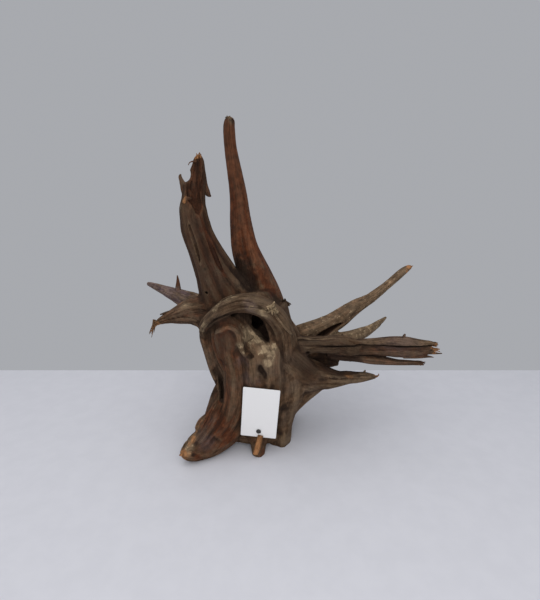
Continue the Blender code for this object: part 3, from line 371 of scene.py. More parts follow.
def modified(obj, kind, **settings):
    """Give the object one modifier and keep what it makes."""
    modifier = obj.modifiers.new(kind.lower(), kind)
    for name, value in settings.items():
        setattr(modifier, name, value)
    graph = bpy.context.evaluated_depsgraph_get()
    made = bpy.data.meshes.new_from_object(obj.evaluated_get(graph))
    obj.modifiers.clear()
    obj.data = made


def combined(obj, other, operation="DIFFERENCE"):
    """A Boolean of two closed pieces, which uses up the second."""
    modified(obj, "BOOLEAN", operation=operation, object=other, solver="MANIFOLD")
    bpy.data.objects.remove(other)


def column(items, key, width=1, kind=np.int32):
    """One property of every item, as an array."""
    flat = np.empty(len(items) * width, kind)
    items.foreach_get(key, flat)
    return flat


def spots_of(obj):
    """The object's points as rows of x, y and z."""
    return column(obj.data.vertices, "co", 3, np.float32).reshape(-1, 3).astype(float)


def normals_of(obj):
    return column(obj.data.vertex_normals, "vector", 3, np.float32).reshape(-1, 3).astype(float)


def move_spots(obj, spots):
    obj.data.vertices.foreach_set("co", spots.astype(np.float32).ravel())
    obj.data.update()


# The grain is measured in steps along a root, out to a reach past its widest.
LINE_STEP = 2.0
GRAIN_REACH = 22.0
FAR = 50.0
BLEND_WIDTH = 0.3


def along_root(name, stations, spots):
    """How many half widths each point lies from a root's line, and its place in the root's grain:

    two distances across it and one along it. The fibres draw together where the root narrows.
    """
    length = sum(steps_along(stations))
    count = max(2, round(length / LINE_STEP)) + 1
    rows = [frame_along(stations, step / (count - 1)) for step in range(count)]
    middle, across, deep, width, depth = (np.array(part) for part in zip(*rows))
    heading = np.cross(across, deep)
    reach = max(width.max(), depth.max()) + GRAIN_REACH
    close = np.all((spots > middle.min(0) - reach) & (spots < middle.max(0) + reach), axis=1)
    near = spots[close]
    gap = (near**2).sum(1)[:, None] - 2 * near @ middle.T + (middle**2).sum(1)
    index = gap.argmin(1)
    away = near - middle[index]
    aside = (away * across[index]).sum(1) / width[index]
    inward = (away * deep[index]).sum(1) / depth[index]
    ahead = (away * heading[index]).sum(1)
    size = (width + depth) / 2
    past = np.maximum(0, np.abs(ahead) - LINE_STEP / 2) / np.minimum(width, depth)[index]
    measure = np.full(len(spots), FAR)
    measure[close] = np.sqrt(aside**2 + inward**2 + past**2)
    bundle = (size.mean() ** 0.7) * size[index] ** 0.3
    start = random.Random("grain " + name).uniform(0, 900)
    grain = np.zeros((len(spots), 3))
    far_along = index * length / (count - 1) + ahead
    grain[close] = np.stack([aside * bundle, inward * bundle, far_along], 1) + start
    return measure, grain


def grain_of(spots, lines):
    """For each point, the two nearest roots, how far it leans to the first, and all grain places."""
    measures, grains = zip(*[along_root(name, line, spots) for name, line in lines.items()])
    measures = np.array(measures)
    order = np.argpartition(measures, 1, axis=0)[:2]
    row = np.arange(len(spots))
    swap = measures[order[0], row] > measures[order[1], row]
    order[:, swap] = order[::-1, swap]
    lead = np.clip((measures[order[1], row] - measures[order[0], row]) / BLEND_WIDTH, 0, 1)
    lean = 0.5 + 0.5 * lead * lead * (3 - 2 * lead)
    return order, lean, np.array(grains, np.float32), measures


def waves(grain, across, along):
    """Smooth noise from -1 to 1 at places in the grain, drawn out along it."""
    return np.array([noise.noise(spot) for spot in (grain / (across, across, along)).tolist()])


def furrows(grain):
    """How far the skin stands out in millimetres, and how deep it lies in a furrow, from 0 to 1."""
    aside, inward = 1.8 * waves(grain, 9.0, 26.0), 1.8 * waves(grain + 40, 9.0, 26.0)
    bent = grain + np.stack([aside, inward, 0 * aside], 1)
    rough = np.clip(0.55 + 1.5 * waves(grain, 16.0, 48.0), 0.1, 1.3)
    folds = waves(grain, 14.0, 90.0)
    cords = np.abs(waves(bent, 5.5, 58.0))
    fibres = np.abs(waves(bent, 2.4, 26.0))
    gaps = np.clip(1 - np.abs(waves(bent, 9.0, 110.0)) / 0.07, 0, 1)
    gaps *= np.clip(3 * waves(grain, 22.0, 50.0), 0, 1)
    out = 1.4 * folds + rough * (2.4 * (cords - 0.22) + 1.2 * (fibres - 0.22)) - 2.0 * gaps
    deep = rough * (np.clip(0.6 - 3.2 * cords, 0, 1) + np.clip(0.35 - 2.5 * fibres, 0, 1)) + gaps
    return out, np.clip(deep, 0, 1)


def relief(order, lean, grains):
    """The furrows of the nearest root, running into those of the next where they meet."""
    row = np.arange(len(lean))
    shared = lean < 0.995
    made = np.array(furrows(grains[order[0], row].astype(float)))
    following = np.array(furrows(grains[order[1], row][shared].astype(float)))
    made[:, shared] = made[:, shared] * lean[shared] + following * (1 - lean[shared])
    return made


# Patches of colour: x, y and z of the middle, how far each reaches, and its strength.
PATCHES = dict(
    reddish=[(-8, -3, 191, 20, 0.9), (0, -5, 175, 14, 0.9), (-74, -6, 292, 22, 0.6),
        (-77, -7, 278, 16, 0.6), (-64, -19, 240, 8, 0.8), (-59, -18, 223, 8, 0.8),
        (-54, -19, 208, 8, 0.8), (-44, -47, 145, 17, 0.6), (-57, -33, 123, 16, 0.7),
        (-50, -36, 108, 16, 0.6), (-38, -46, 129, 13, 0.5), (-63, -44, 49, 22, 0.7),
        (-52, -51, 36, 22, 0.9), (-44, -51, 24, 20, 0.8), (-66, -35, 141, 10, 0.6), (-6, -47, 6, 9, 0.9),
        (-76, -62, 9, 7, 0.9), (-40, -46, 22, 14, 0.7), (-70, -21, 266, 8, 0.9), (-113, 61, 174, 9, 0.7)],
    bleached=[(-88, -60, 17, 12, 0.9), (-82, -54, 30, 7, 0.75), (-77, -56, 29, 5, 0.6),
        (-54, -42, 167, 12, 0.75), (-39, -46, 176, 12, 0.7), (-19, -53, 178, 14, 0.35),
        (-16, -57, 170, 10, 0.85), (-8, -57, 166, 8, 0.85), (-3, -56, 161, 6, 0.6), (2, -54, 171, 5, 0.9),
        (-19, -43, 137, 14, 1), (-13, -46, 135, 9, 1), (-5, -51, 127, 9, 1), (1, -52, 120, 7, 1),
        (5, -49, 130, 6, 1), (-2, -52, 113, 7, 1), (7, -50, 124, 4, 0.8), (-24, -41, 143, 8, 0.9),
        (-29, -49, 130, 6, 0.8), (-27, -48, 123, 6, 0.7), (-67, -39, 147, 7, 0.9),
        (-72, -33, 140, 7, 0.9), (32, -23, 127, 8, 0.5), (42, -29, 122, 7, 0.5), (-87, -18, 262, 6, 0.6),
        (-41, 18, 350, 6, 0.75), (-40, 17, 345, 5, 0.6), (-88, -21, 162, 10, 0.6),
        (15, -44, 128, 10, 0.2), (8, -51, 146, 13, 0.25), (20, -41, 110, 12, 0.2),
        (190, 106, 180, 30, 0.3)],
    torn=[(-70, -8, 313, 8, 1), (-82, -18, 270, 4, 1), (-120, -22, 142, 9, 0.6), (-107, -18, 148, 6, 0.4),
        (-89, -61, 14, 12, 0.6), (-81, -54, 30, 8, 0.6), (-85, -57, 24, 5, 0.4), (182, -5, 112, 7, 0.9),
        (182, -5, 104, 6, 0.7), (121, -4, 75, 8, 0.9), (85, -14, 81, 10, 0.6), (184, 102, 181, 12, 0.8),
        (-29, 7, 275, 4, 0.5), (-28.5, 6, 267, 4, 0.55), (-28, 5, 259, 4, 0.5), (-155, 79, 163, 8, 0.7),
        (-42, 24, 351, 6, 0.5), (-20, -2, 260, 14, 0.3)],
    # The darkest patches are partly darker wood and pits, and partly painted shade in hollows, in the
    # slit under the arch and round the tag.
    dark_wood_and_shade=[(-41, -44, 161, 5, 0.9), (-36, -33, 158, 6, 1), (-29, -33, 158, 7, 1), (-23, -35, 157, 7, 1),
        (-19, -37, 152, 6, 0.9), (-42, 17, 347, 3, 1), (-38, 17, 343, 3, 1), (-39, 17, 350, 2.5, 1),
        (-45, 18, 349, 2.5, 0.9), (-87, -66, 11, 5, 0.7), (-79, -62, 13, 4, 0.8), (-76, -58, 24, 4, 0.6),
        (58, 1, 95, 14, 0.8), (72, 3, 91, 12, 0.8), (-33, -4, 197, 20, 1), (-27, -10, 186, 20, 1),
        (-22, -14, 178, 10, 0.9), (-54, -23, 79, 8, 0.8), (-58, -26, 90, 8, 0.7), (-62, -22, 64, 8, 0.7),
        (2, -47, 82, 6, 0.8), (-12, -47, 77, 7, 0.8), (-5, -49, 85, 5, 0.7), (14, -36, 53, 9, 0.8),
        (12, -27, 18, 6, 0.8), (-8, -46, 99, 6, 0.7), (-67, -12, 175, 6, 1), (18, -11, 164, 6, 0.8),
        (-20, -50, 118, 5, 0.8), (68, 3, 91, 14, 0.6), (-37, 21, 347, 4, 0.7)],
    ashen=[(-66, -53, 24, 14, 0.45), (-60, -50, 40, 12, 0.3), (-150, 77, 162, 22, 1),
        (-128, 68, 156, 24, 1), (-106, 56, 150, 22, 0.9), (-86, 42, 145, 16, 0.7),
        (-18, -57, 171, 9, 0.7), (-20, -40, 92, 14, 0.4), (-28, -50, 112, 9, 0.4),
        (140, -8, 119, 30, 0.4)],
)
# How far the skin is smoothed, and the height at which a ridge counts as full wear and a hollow as full
# painted shade.
WEAR_AND_SHADE_ROUNDS = 14
WEAR_AND_SHADE_HEIGHT = 0.6


def store(mesh, name, values, domain="POINT"):
    """Keep a value or vector with each point or corner."""
    kind, key = ("FLOAT", "value") if values.ndim == 1 else ("FLOAT_VECTOR", "vector")
    made = mesh.attributes.new(name, kind, domain)
    made.data.foreach_set(key, np.ascontiguousarray(values, np.float32).ravel())


def settled(mesh, spots, rounds):
    """The points after rounds of each going to the middle of its neighbours."""
    ends = column(mesh.edges, "vertices", 2).reshape(-1, 2)
    here, there = np.concatenate([ends, ends[:, ::-1]]).T
    count = np.maximum(1, np.bincount(here, minlength=len(spots)))
    for _ in range(rounds):
        sums = [np.bincount(here, line[there], len(spots)) for line in spots.T]
        spots = np.stack(sums, 1) / count[:, None]
    return spots


def record_the_grain(obj, lines):
    """Keep each corner's place in the grain of the two nearest roots, and each point's tones and painted
    shade.
    """
    mesh = obj.data
    spots = spots_of(obj)
    order, lean, grains, measures = grain_of(spots, lines)
    spot_at = column(mesh.loops, "vertex_index")
    first_corner = column(mesh.polygons, "loop_start")
    corner_face = np.repeat(np.arange(len(mesh.polygons)), column(mesh.polygons, "loop_total"))
    faces = measures[:, spot_at[first_corner]] + measures[:, spot_at[first_corner + 1]]
    pair = np.argpartition(faces, 1, axis=0)[:2]
    near, following = pair[0][corner_face], pair[1][corner_face]
    lead = (measures[following, spot_at] - measures[near, spot_at]) / BLEND_WIDTH
    lead = np.clip(lead, -1, 1)
    store(mesh, "lean", 0.5 + 0.5 * lead * (1.5 - 0.5 * lead * lead), "CORNER")
    store(mesh, "grain_near", grains[near, spot_at], "CORNER")
    store(mesh, "grain_next", grains[following, spot_at], "CORNER")
    # How deep each point lies in a furrow, which later darkens the colour as painted shade and dirt.
    store(mesh, "furrow", relief(order, lean, grains)[1])
    # How far each point stands out from its smoothed neighbours: ridges are bleached by wear, and hollows
    # get painted shade.
    stands_out = ((spots - settled(mesh, spots, WEAR_AND_SHADE_ROUNDS)) * normals_of(obj)).sum(1)
    store(mesh, "wear_and_hollow_shade", np.clip(stands_out / WEAR_AND_SHADE_HEIGHT, -1, 1))
    habits = np.array([(*HABITS.get(name, OTHERS), 0) for name in lines], float)
    habits = habits[order[0]] * lean[:, None] + habits[order[1]] * (1 - lean[:, None])
    store(mesh, "coarse", habits[:, 2])
    tone = habits[:, 3:]
    # Inside a hollow or slit its own tone takes over, mostly painted shade.
    for name, (own, line) in {**HOLLOWS, **SLITS}.items():
        if own:
            away, _ = along_root(name, line, spots)
            inside = np.clip((1.5 - away) / 0.35, 0, 1)[:, None]
            tone = tone * (1 - inside) + np.array((*own, 0)) * inside
    ragged = waves(spots, 7.0, 7.0) + 0.6 * waves(spots, 2.8, 2.8)
    for index, (kind, patches) in enumerate(PATCHES.items()):
        for x, y, z, reach, strength in patches:
            away = np.sqrt(((spots - (x, y, z)) ** 2).sum(1)) / reach
            inside = strength * np.clip(1.6 * (1 - away) + 0.7 * ragged, 0, 1) * (away < 1.5)
            tone[:, index] = np.maximum(tone[:, index], inside)
            if kind != "dark_wood_and_shade":
                others = [c for c in range(3) if c != index]
                tone[:, others] *= 1 - 0.6 * inside[:, None]
    for index, kind in enumerate(PATCHES):
        store(mesh, kind, tone[:, index])


class Shade:
    """A shader socket, whose sums and products add Math nodes. `node` adds any other node."""

    def __init__(self, tree, socket=None):
        self.tree = tree
        self.socket = socket

    def node(self, kind, settings=(), values=(), output=0):
        made = self.tree.nodes.new("ShaderNode" + kind)
        for name, value in dict(settings).items():
            setattr(made, name, value)
        feed(made, dict(values))
        return Shade(self.tree, made.outputs[output])

    def maths(self, operation, *values):
        return self.node("Math", {"operation": operation}, dict(enumerate(values)))

    def __add__(self, other):
        return self.maths("ADD", self, other)

    def __sub__(self, other):
        return self.maths("SUBTRACT", self, other)

    def __rsub__(self, other):
        return self.maths("SUBTRACT", other, self)

    def __mul__(self, other):
        return self.maths("MULTIPLY", self, other)

    __radd__ = __add__
    __rmul__ = __mul__

    def eased(self, low, high):
        """0 below low, 1 above high, and a smooth step between them."""
        spread = {"From Min": low, "From Max": high, "Value": self}
        return self.node("MapRange", {"interpolation_type": "SMOOTHSTEP"}, spread)

    def blend(self, first, second):
        """The first colour where this is 0, and the second where it is 1."""
        colours = {"Factor": self}
        for slot, colour in ((6, first), (7, second)):
            colours[slot] = colour if isinstance(colour, Shade) else (*colour, 1.0)
        return self.node("Mix", {"data_type": "RGBA"}, colours, 2)

    def stretched(self, *sizes):
        """A place measured in sizes of its own, one for all directions or one for each."""
        shares = tuple(1 / size for size in sizes * (3 // len(sizes)))
        return self.node("VectorMath", {"operation": "MULTIPLY"}, {0: self, 1: shares})

    def noise(self, detail):
        spread = {"Vector": self, "Scale": 1.0, "Detail": detail, "Roughness": 0.6}
        return self.node("TexNoise", (), spread)

    def bump(self, strength, distance):
        spread = {"Height": self, "Strength": strength, "Distance": distance}
        return self.node("Bump", (), spread)

    def stored(self, name, output="Fac"):
        return self.node("Attribute", {"attribute_name": name}, output=output)

    def millimetres(self):
        return self.node("TexCoord", output="Object").stretched(MM)


def finish(name):
    """A material, a start for its nodes, and its shader."""
    made = bpy.data.materials.new(name)
    made.use_nodes = True
    return made, Shade(made.node_tree), made.node_tree.nodes["Principled BSDF"]


def feed(node, values):
    """Link or set a node's inputs."""
    for name, value in values.items():
        if isinstance(value, Shade):
            value.tree.links.new(value.socket, node.inputs[name])
        else:
            node.inputs[name].default_value = value


UMBER = (0.06, 0.031, 0.0155)
DUN = (0.128, 0.073, 0.04)
STONE_GREY = (0.122, 0.081, 0.054)
COOL_GREY = (0.135, 0.092, 0.096)
RUSSET = (0.126, 0.0345, 0.0108)
DEEP_RUSSET = (0.058, 0.0165, 0.006)
BLEACHED = (0.33, 0.24, 0.148)
CREAM = (0.38, 0.28, 0.17)
FRESH = (0.39, 0.185, 0.078)
# Near black for painted shade and dirt in furrows and hollows, and for darker wood.
SHADE_AND_DIRT_BLACK = (0.016, 0.009, 0.006)


def wood_finish():
    """Brown and grey skin with painted shade and dirt in its furrows and hollows, polished reddish,
    bleached, or torn.
    """
    made, start, shader = finish("weathered_wood")
    lean = start.stored("lean")
    near, following = start.stored("grain_near", "Vector"), start.stored("grain_next", "Vector")

    def grained(across, along, detail):
        first = near.stretched(across, across, along).noise(detail)
        second = following.stretched(across, across, along).noise(detail)
        return second + (first - second) * lean

    bands = grained(8.0, 60.0, 4)
    streaks = grained(2.6, 30.0, 5)
    fibres = grained(1.1, 11.0, 4)
    cracks = 1 - start.maths("ABSOLUTE", grained(5.0, 60.0, 3) - 0.5).eased(0.0, 0.045)
    threads = grained(1.9, 45.0, 3).eased(0.6, 0.68)
    place = start.millimetres()
    clouds = place.stretched(26.0).noise(5)
    mottle = place.stretched(7.0).noise(6)
    flakes = (place.stretched(11.0).noise(6) + (bands - 0.5) * 0.6).eased(0.535, 0.56)
    specks = place.stretched(1.2).noise(4)
    wear_and_hollow_shade = start.stored("wear_and_hollow_shade")
    polished = start.stored("reddish")
    rough_edge = (mottle - 0.5) * 0.9 + (streaks - 0.5) * 0.7
    reddish = (polished + rough_edge).eased(0.1, 0.85)
    coarse = start.stored("coarse")
    pale = start.stored("bleached")
    scaly = place.stretched(3.2).noise(5)
    crisp = (pale + (scaly - 0.5) * 2.2 + (mottle - 0.5) * 0.8).eased(0.72, 0.82)
    bleached = (pale + rough_edge * 0.5).eased(0.0, 1.3)
    torn = (start.stored("torn") + rough_edge * 0.8).eased(0.3, 0.75)
    # Darker wood and painted shade, from the stored patches and tones.
    dark_wood_and_shade = (start.stored("dark_wood_and_shade") + rough_edge * 0.7).eased(0.08, 0.85)
    drawn = (streaks * 0.6 + bands * 0.8 - 0.7) * (0.35 + 0.65 * coarse)
    drawn = drawn + (mottle - 0.5) * 0.5 + 0.5
    skin = drawn.eased(0.3, 0.7).blend(UMBER, DUN)
    skin = (clouds.eased(0.42, 0.6) * 0.7).blend(skin, STONE_GREY)
    skin = start.stored("ashen").blend(skin, COOL_GREY)
    skin = (reddish * 0.9).blend(skin, drawn.eased(0.28, 0.66).blend(DEEP_RUSSET, RUSSET))
    skin = (threads * 0.16 * (1 - 0.7 * polished)).blend(skin, BLEACHED)
    rubbed = (wear_and_hollow_shade + (fibres - 0.5) * 0.8).eased(0.2, 1.0) * 0.2
    skin = (rubbed * (1 - 0.8 * polished)).blend(skin, BLEACHED)
    skin = (bleached * 0.8).blend(skin, BLEACHED)
    skin = (crisp * (0.5 + 0.5 * streaks.eased(0.38, 0.52))).blend(skin, CREAM)
    skin = torn.blend(skin, FRESH)
    contrast = coarse * (1 - 0.4 * polished) + 0.2
    grain = 1.1 * (fibres - 0.5) + 0.4 * (streaks - 0.5) + 0.7 * (specks - 0.5) - 0.16 * flakes
    shade = (0.95 + contrast * grain) * (0.3 + 1.3 * mottle)
    shade = shade.maths("MAXIMUM", shade, 0.25)
    skin = skin.node("VectorMath", {"operation": "SCALE"}, {0: skin, "Scale": shade})
    # Painted shade and dirt in the furrows, and darker cracks along the grain.
    depth = start.stored("furrow") * 0.55 * (0.3 + 0.7 * coarse)
    depth = depth + cracks * bands.eased(0.48, 0.58) * 0.7 * contrast
    depth = depth.maths("MINIMUM", depth, 1.0)
    skin = (depth * 0.65).blend(skin, SHADE_AND_DIRT_BLACK)
    # Painted shade in hollows below the smoothed skin.
    skin = ((-0.15 - wear_and_hollow_shade).eased(0.0, 0.8) * 0.55).blend(skin, SHADE_AND_DIRT_BLACK)
    # Darker wood, and painted shade in hollows, slits and under overhangs.
    skin = (dark_wood_and_shade * 0.85).blend(skin, SHADE_AND_DIRT_BLACK)
    height = streaks * 0.6 + fibres * 0.45 + specks * 0.2 - cracks * 0.4 - flakes * 0.15
    roughness = 0.93 - 0.22 * reddish * (1 - depth) - 0.1 * specks
    feed(shader, {"Base Color": skin, "Roughness": roughness, "Normal": height.bump(1.0, 0.0011)})
    feed(shader, {"Specular IOR Level": 0.12})
    return made


# How finely each kind of line is made: sides, the space between rings, and how fluted it is.
ROOT_MAKE = (48, 2.5, 0.09)
SINEW_MAKE = (10, 3.0, 0.1)
HOLLOW_MAKE = (24, 2.5, 0.08)
SLIT_MAKE = (16, 2.5, 0.08)
SPLINTER_MAKE = (24, 2.5, 0.12)
FINE_MAKE = (16, 1.2, 0.12)
FIBRE_MAKE = (8, 0.8, 0.1)
FIRST_VOXEL, HOLLOW_VOXEL, LAST_VOXEL = 1.2, 0.9, 1.0
MOST_TRIANGLES = 188000
SMALL_ROOT = 9.0
TAG_MIDDLE = Vector((-10.5, -47.5, 53.0))
tag_low, tag_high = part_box("shop_tag")
place = Matrix.Translation((tag_low + tag_high) / 2 - TAG_MIDDLE * MM) @ Matrix.Scale(MM, 4)

bm = bmesh.new()
for name, line in ROOTS.items():
    grow(bm, name, line, *ROOT_MAKE)
for name, (count, thickness, *_) in HABITS.items():
    if count:
        grow_sinews(bm, name, ROOTS[name], count, thickness)
wood = made_from(bm, "driftwood_body")
modified(wood, "REMESH", mode="VOXEL", voxel_size=FIRST_VOXEL)
modified(wood, "SMOOTH", iterations=10)
bm = bmesh.new()
for name, (_, line) in HOLLOWS.items():
    grow(bm, name, line, *HOLLOW_MAKE)
rotted = made_from(bm, "rotted_away")
modified(rotted, "REMESH", mode="VOXEL", voxel_size=HOLLOW_VOXEL)
combined(wood, rotted)
bm = bmesh.new()
bm.from_mesh(wood.data)
for name, line in SPLINTERS.items():
    grow(bm, name, line, *SPLINTER_MAKE)
bm.to_mesh(wood.data)
bm.free()
modified(wood, "REMESH", mode="VOXEL", voxel_size=LAST_VOXEL)
modified(wood, "SMOOTH", iterations=1)

lines = {**ROOTS, **SPLINTERS}
spots = spots_of(wood)
order, lean, grains, _ = grain_of(spots, lines)
thickness = np.array([np.mean([min(row[3:]) for row in line]) for line in lines.values()])
strength = np.array([HABITS.get(name, OTHERS)[2] for name in lines])
strength = strength * np.minimum(1, thickness / SMALL_ROOT)
strength = strength[order[0]] * lean + strength[order[1]] * (1 - lean)
out = relief(order, lean, grains)[0]
move_spots(wood, spots + normals_of(wood) * (out * strength)[:, None])
for name, (_, line) in SLITS.items():
    bm = bmesh.new()
    grow(bm, name, line, *SLIT_MAKE)
    combined(wood, made_from(bm, name))

# The shop tag's bed is shaved flat, the tack's hole is bored, and the feet are sawn level.
TAG_WIDTH = 38.0
TAG_HEIGHT = 62.0
TAG_THICKNESS = 0.8
TAG_HOLE_UP = 8.0
CLEARANCE = 0.3
TAG_UP = Vector((0.07, -0.14, 0.988)).normalized()
TAG_ACROSS = Vector((0.984, -0.05, -0.157))
TAG_ACROSS = (TAG_ACROSS - TAG_UP * TAG_ACROSS.dot(TAG_UP)).normalized()
TAG_OUT = TAG_ACROSS.cross(TAG_UP)
on_tag = Matrix.Translation(TAG_MIDDLE) @ Matrix((TAG_ACROSS, TAG_UP, TAG_OUT)).transposed().to_4x4()
at_hole = on_tag @ Matrix.Translation((0, TAG_HOLE_UP - TAG_HEIGHT / 2, 0))


def block(name, low, high, put=Matrix.Identity(4), rounding=0):
    """A plain block between two corners, its upright edges rounded or not."""
    bm = bmesh.new()
    bmesh.ops.create_cube(bm, size=1.0)
    low, high = Vector(low), Vector(high)
    bmesh.ops.scale(bm, vec=high - low, verts=bm.verts)
    bmesh.ops.translate(bm, vec=(low + high) / 2, verts=bm.verts)
    if rounding:
        upright = [e for e in bm.edges if abs(e.verts[0].co.z - e.verts[1].co.z) > 1]
        bmesh.ops.bevel(
            bm, geom=upright, offset=rounding, segments=6, profile=0.5, affect="EDGES", material=-1
        )
    bm.transform(put)
    return made_from(bm, name)


def turned(name, profile, sides, put):
    """A piece turned on a lathe: radii and heights, spun round the middle line."""
    bm = bmesh.new()
    points = [bm.verts.new((radius, 0, along)) for radius, along in profile]
    for first, second in zip(points, points[1:]):
        bm.edges.new((first, second))
    bmesh.ops.spin(
        bm, geom=bm.verts[:] + bm.edges[:], cent=(0, 0, 0), axis=(0, 0, 1), angle=math.tau,
        steps=sides, use_merge=True,
    )
    bmesh.ops.remove_doubles(bm, verts=bm.verts, dist=0.0001)
    bmesh.ops.recalc_face_normals(bm, faces=bm.faces)
    bm.transform(put)
    return made_from(bm, name)


BED_MARGIN = 1.0
BED_REACH = 20.0
BORE = 1.2
BORE_DEPTH = 8.6
behind = -TAG_THICKNESS / 2 - CLEARANCE
half_bed = (TAG_WIDTH / 2 + BED_MARGIN, TAG_HEIGHT / 2 + BED_MARGIN)
combined(wood, block("bed", (-half_bed[0], -half_bed[1], behind), (*half_bed, BED_REACH), on_tag))
bore = [(0, -BORE_DEPTH), (BORE, -BORE_DEPTH), (BORE, BED_REACH), (0, BED_REACH)]
combined(wood, turned("bore", bore, 28, at_hole))
combined(wood, block("ground", (-300, -300, -100), (300, 300, 0)))
wood.data.calc_loop_triangles()
modified(wood, "DECIMATE", ratio=min(1.0, MOST_TRIANGLES / len(wood.data.loop_triangles)))


def set_down(obj, slot, *nodes):
    """Bring a finished piece to its place in the model, and tie it there."""
    obj.data.transform(place)
    move_spots(obj, np.clip(spots_of(obj), *np.array(cad_box)))
    obj.data.shade_smooth()
    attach(obj, "root")
    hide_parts(*nodes)


def drop_crumbs(obj):
    """Keep the largest joined piece."""
    bm = bmesh.new()
    bm.from_mesh(obj.data)
    waiting, pieces = set(bm.verts), []
    while waiting:
        piece = [waiting.pop()]
        for vert in piece:
            for edge in vert.link_edges:
                other = edge.other_vert(vert)
                if other in waiting:
                    waiting.remove(other)
                    piece.append(other)
        pieces.append(piece)
    pieces.sort(key=len)
    bmesh.ops.delete(bm, geom=sum(pieces[:-1], []), context="VERTS")
    bm.to_mesh(obj.data)
    bm.free()


drop_crumbs(wood)
record_the_grain(wood, lines)
weathered = wood_finish()
wood.data.materials.clear()
wood.data.materials.append(weathered)
set_down(wood, "weathered_wood", "driftwood")

# The splinters, thorns and torn fibres stand at the root tips and broken edges, too thin to be
# grown with the rest. Each is a tapered strand with its foot sunk in the wood.
FINE_SPLINTERS = dict(
    shoulder_ridge=[(1, -51, 170.5, 0.6, 0.8), (6, -52.4, 161, 1.2, 1.5), (11, -50.3, 153, 1.3, 1.5),
        (16, -48.3, 146, 1.2, 1.4), (20, -45.3, 141, 1.1, 1.3), (24, -36, 135, 0.7, 0.8)],
    sleeve_rim=[(23, -36, 135, 0.6, 0.8), (26, -24, 127.5, 1, 1.2), (33, -17, 125, 1, 1.2),
        (48, -15, 122.6, 1, 1.2), (65, -14, 123.2, 0.9, 1.2), (80, -13, 123, 0.6, 0.8)],
    split_middle_spine=[(168, -6, 103.4, 1.6, 1.8), (182, -6, 103, 1, 1.2), (191, -6, 103, 0.5)],
    split_thorn=[(147, -5, 119, 2.2), (147.5, -5, 122.8, 1.7), (148.5, -5, 125.6, 0.8)],
    sleeve_thorn=[(78, -8, 122, 1.8), (78.5, -8, 125.6, 1), (79, -8, 127.2, 0.5)],
    limb_spur=[(-68, 0, 306, 1.6, 2.6), (-66.6, 0, 294, 2.2, 2.6), (-65.4, -1, 284, 2.4),
        (-64, -2, 277, 3.2, 2), (-61.6, -3, 273.3, 2.2, 1.2), (-59.4, -3.5, 272, 0.5)],
    limb_torn_lip=[(-84, -18, 266, 1.8, 2), (-82.5, -19, 269, 2), (-79, -20, 270.5, 1.4),
        (-76, -20.5, 270, 0.6)],
    limb_twig=[(-72, -8, 305, 1.2), (-76, -9, 305, 0.7), (-78.5, -10, 303.6, 0.5),
        (-79.5, -10, 301.5, 0.4)],
    back_left_spur=[(-113, 58, 150, 6, 3.6), (-112.6, 59, 161, 3.6, 2.4), (-112.8, 61, 171, 1.8, 1.4),
        (-113.5, 62, 177.5, 0.6)],
    left_root_hook=[(-98, -16, 155, 2.6, 3), (-107, -18, 154, 1.8, 2), (-115, -20, 152.5, 0.6, 0.7)],
    front_stub_chip=[(-10, -44.5, 25, 3.1, 1.7), (-13, -47, 14, 3.3, 1.7), (-16, -49, 5, 2.8, 1.5)],
    lower_root_knob=[(105, -6, 78, 2), (106.5, -6, 81.4, 1.3), (107, -6, 83, 0.6)],
    lower_root_tip=[(117, -4, 74, 2, 2.2), (121, -3.4, 74, 1.2), (123.4, -3, 75.6, 0.6),
        (123, -3, 77, 0.4)],
)
# A tuft: its foot, the way it reaches, its length, how many fibres, their radius, its tone.
TUFTS = dict(
    left_root_fray=((-121, -22, 142.5), (-0.35, -0.1, -0.9), 12, 9, 0.6, (0.4, 0.1, 0.45, 0.1)),
    right_shoulder_twigs=((15.5, -10, 162.5), (0.35, -0.2, 0.2), 7.5, 16, 1.4, (0.2, 0, 0.2, 0.55)),
    arch_tuft=((2, -54, 169.5), (0.1, -0.35, 0.1), 8.5, 26, 1.3, (0, 1, 0.3, 0)),
    spike_knob=((-41.5, 23, 348), (0.05, -0.4, 0.5), 4.5, 12, 1, (0.3, 0.4, 0.2, 0.2)),
    limb_top=((-69.5, -6, 309), (0.1, -0.1, 1), 6, 8, 0.7, (0, 0.1, 0.9, 0)),
    split_root_ends=((180, -5, 108), (1, 0, 0), 8, 14, 0.7, (0.3, 0, 0.7, 0)),
    split_bottom_end=((169, -5, 91.5), (1, 0, 0.1), 5, 10, 0.8, (0.6, 0, 0.2, 0.1)),
    split_top_end=((181, -5, 114), (1, 0, 0.1), 5.5, 9, 0.7, (0.2, 0.1, 0.3, 0.1)),
    toe_fibres=((-90, -60, 16), (-0.5, -0.1, -0.2), 4, 9, 1.2, (0.1, 0.6, 0.5, 0)),
    lower_root_fray=((116, -4, 75), (1, 0, -0.1), 5.5, 8, 0.6, (0.2, 0, 0.5, 0.1)),
    long_root_tip=((185, 104, 180), (0.9, 0.35, 0.1), 5, 5, 0.7, (0, 0.1, 0.9, 0)),
)
FIBRE_TAPER = ((-0.45, 1.3), (0.2, 1), (0.65, 0.75), (1, 0.4))
FIBRE_SPREAD = 1.6
FIBRE_SPLAY = 0.45
FIBRE_DROOP = 0.08
bm = bmesh.new()
strands = dict(FINE_SPLINTERS)
for name, line in strands.items():
    grow(bm, name, line, *FINE_MAKE)
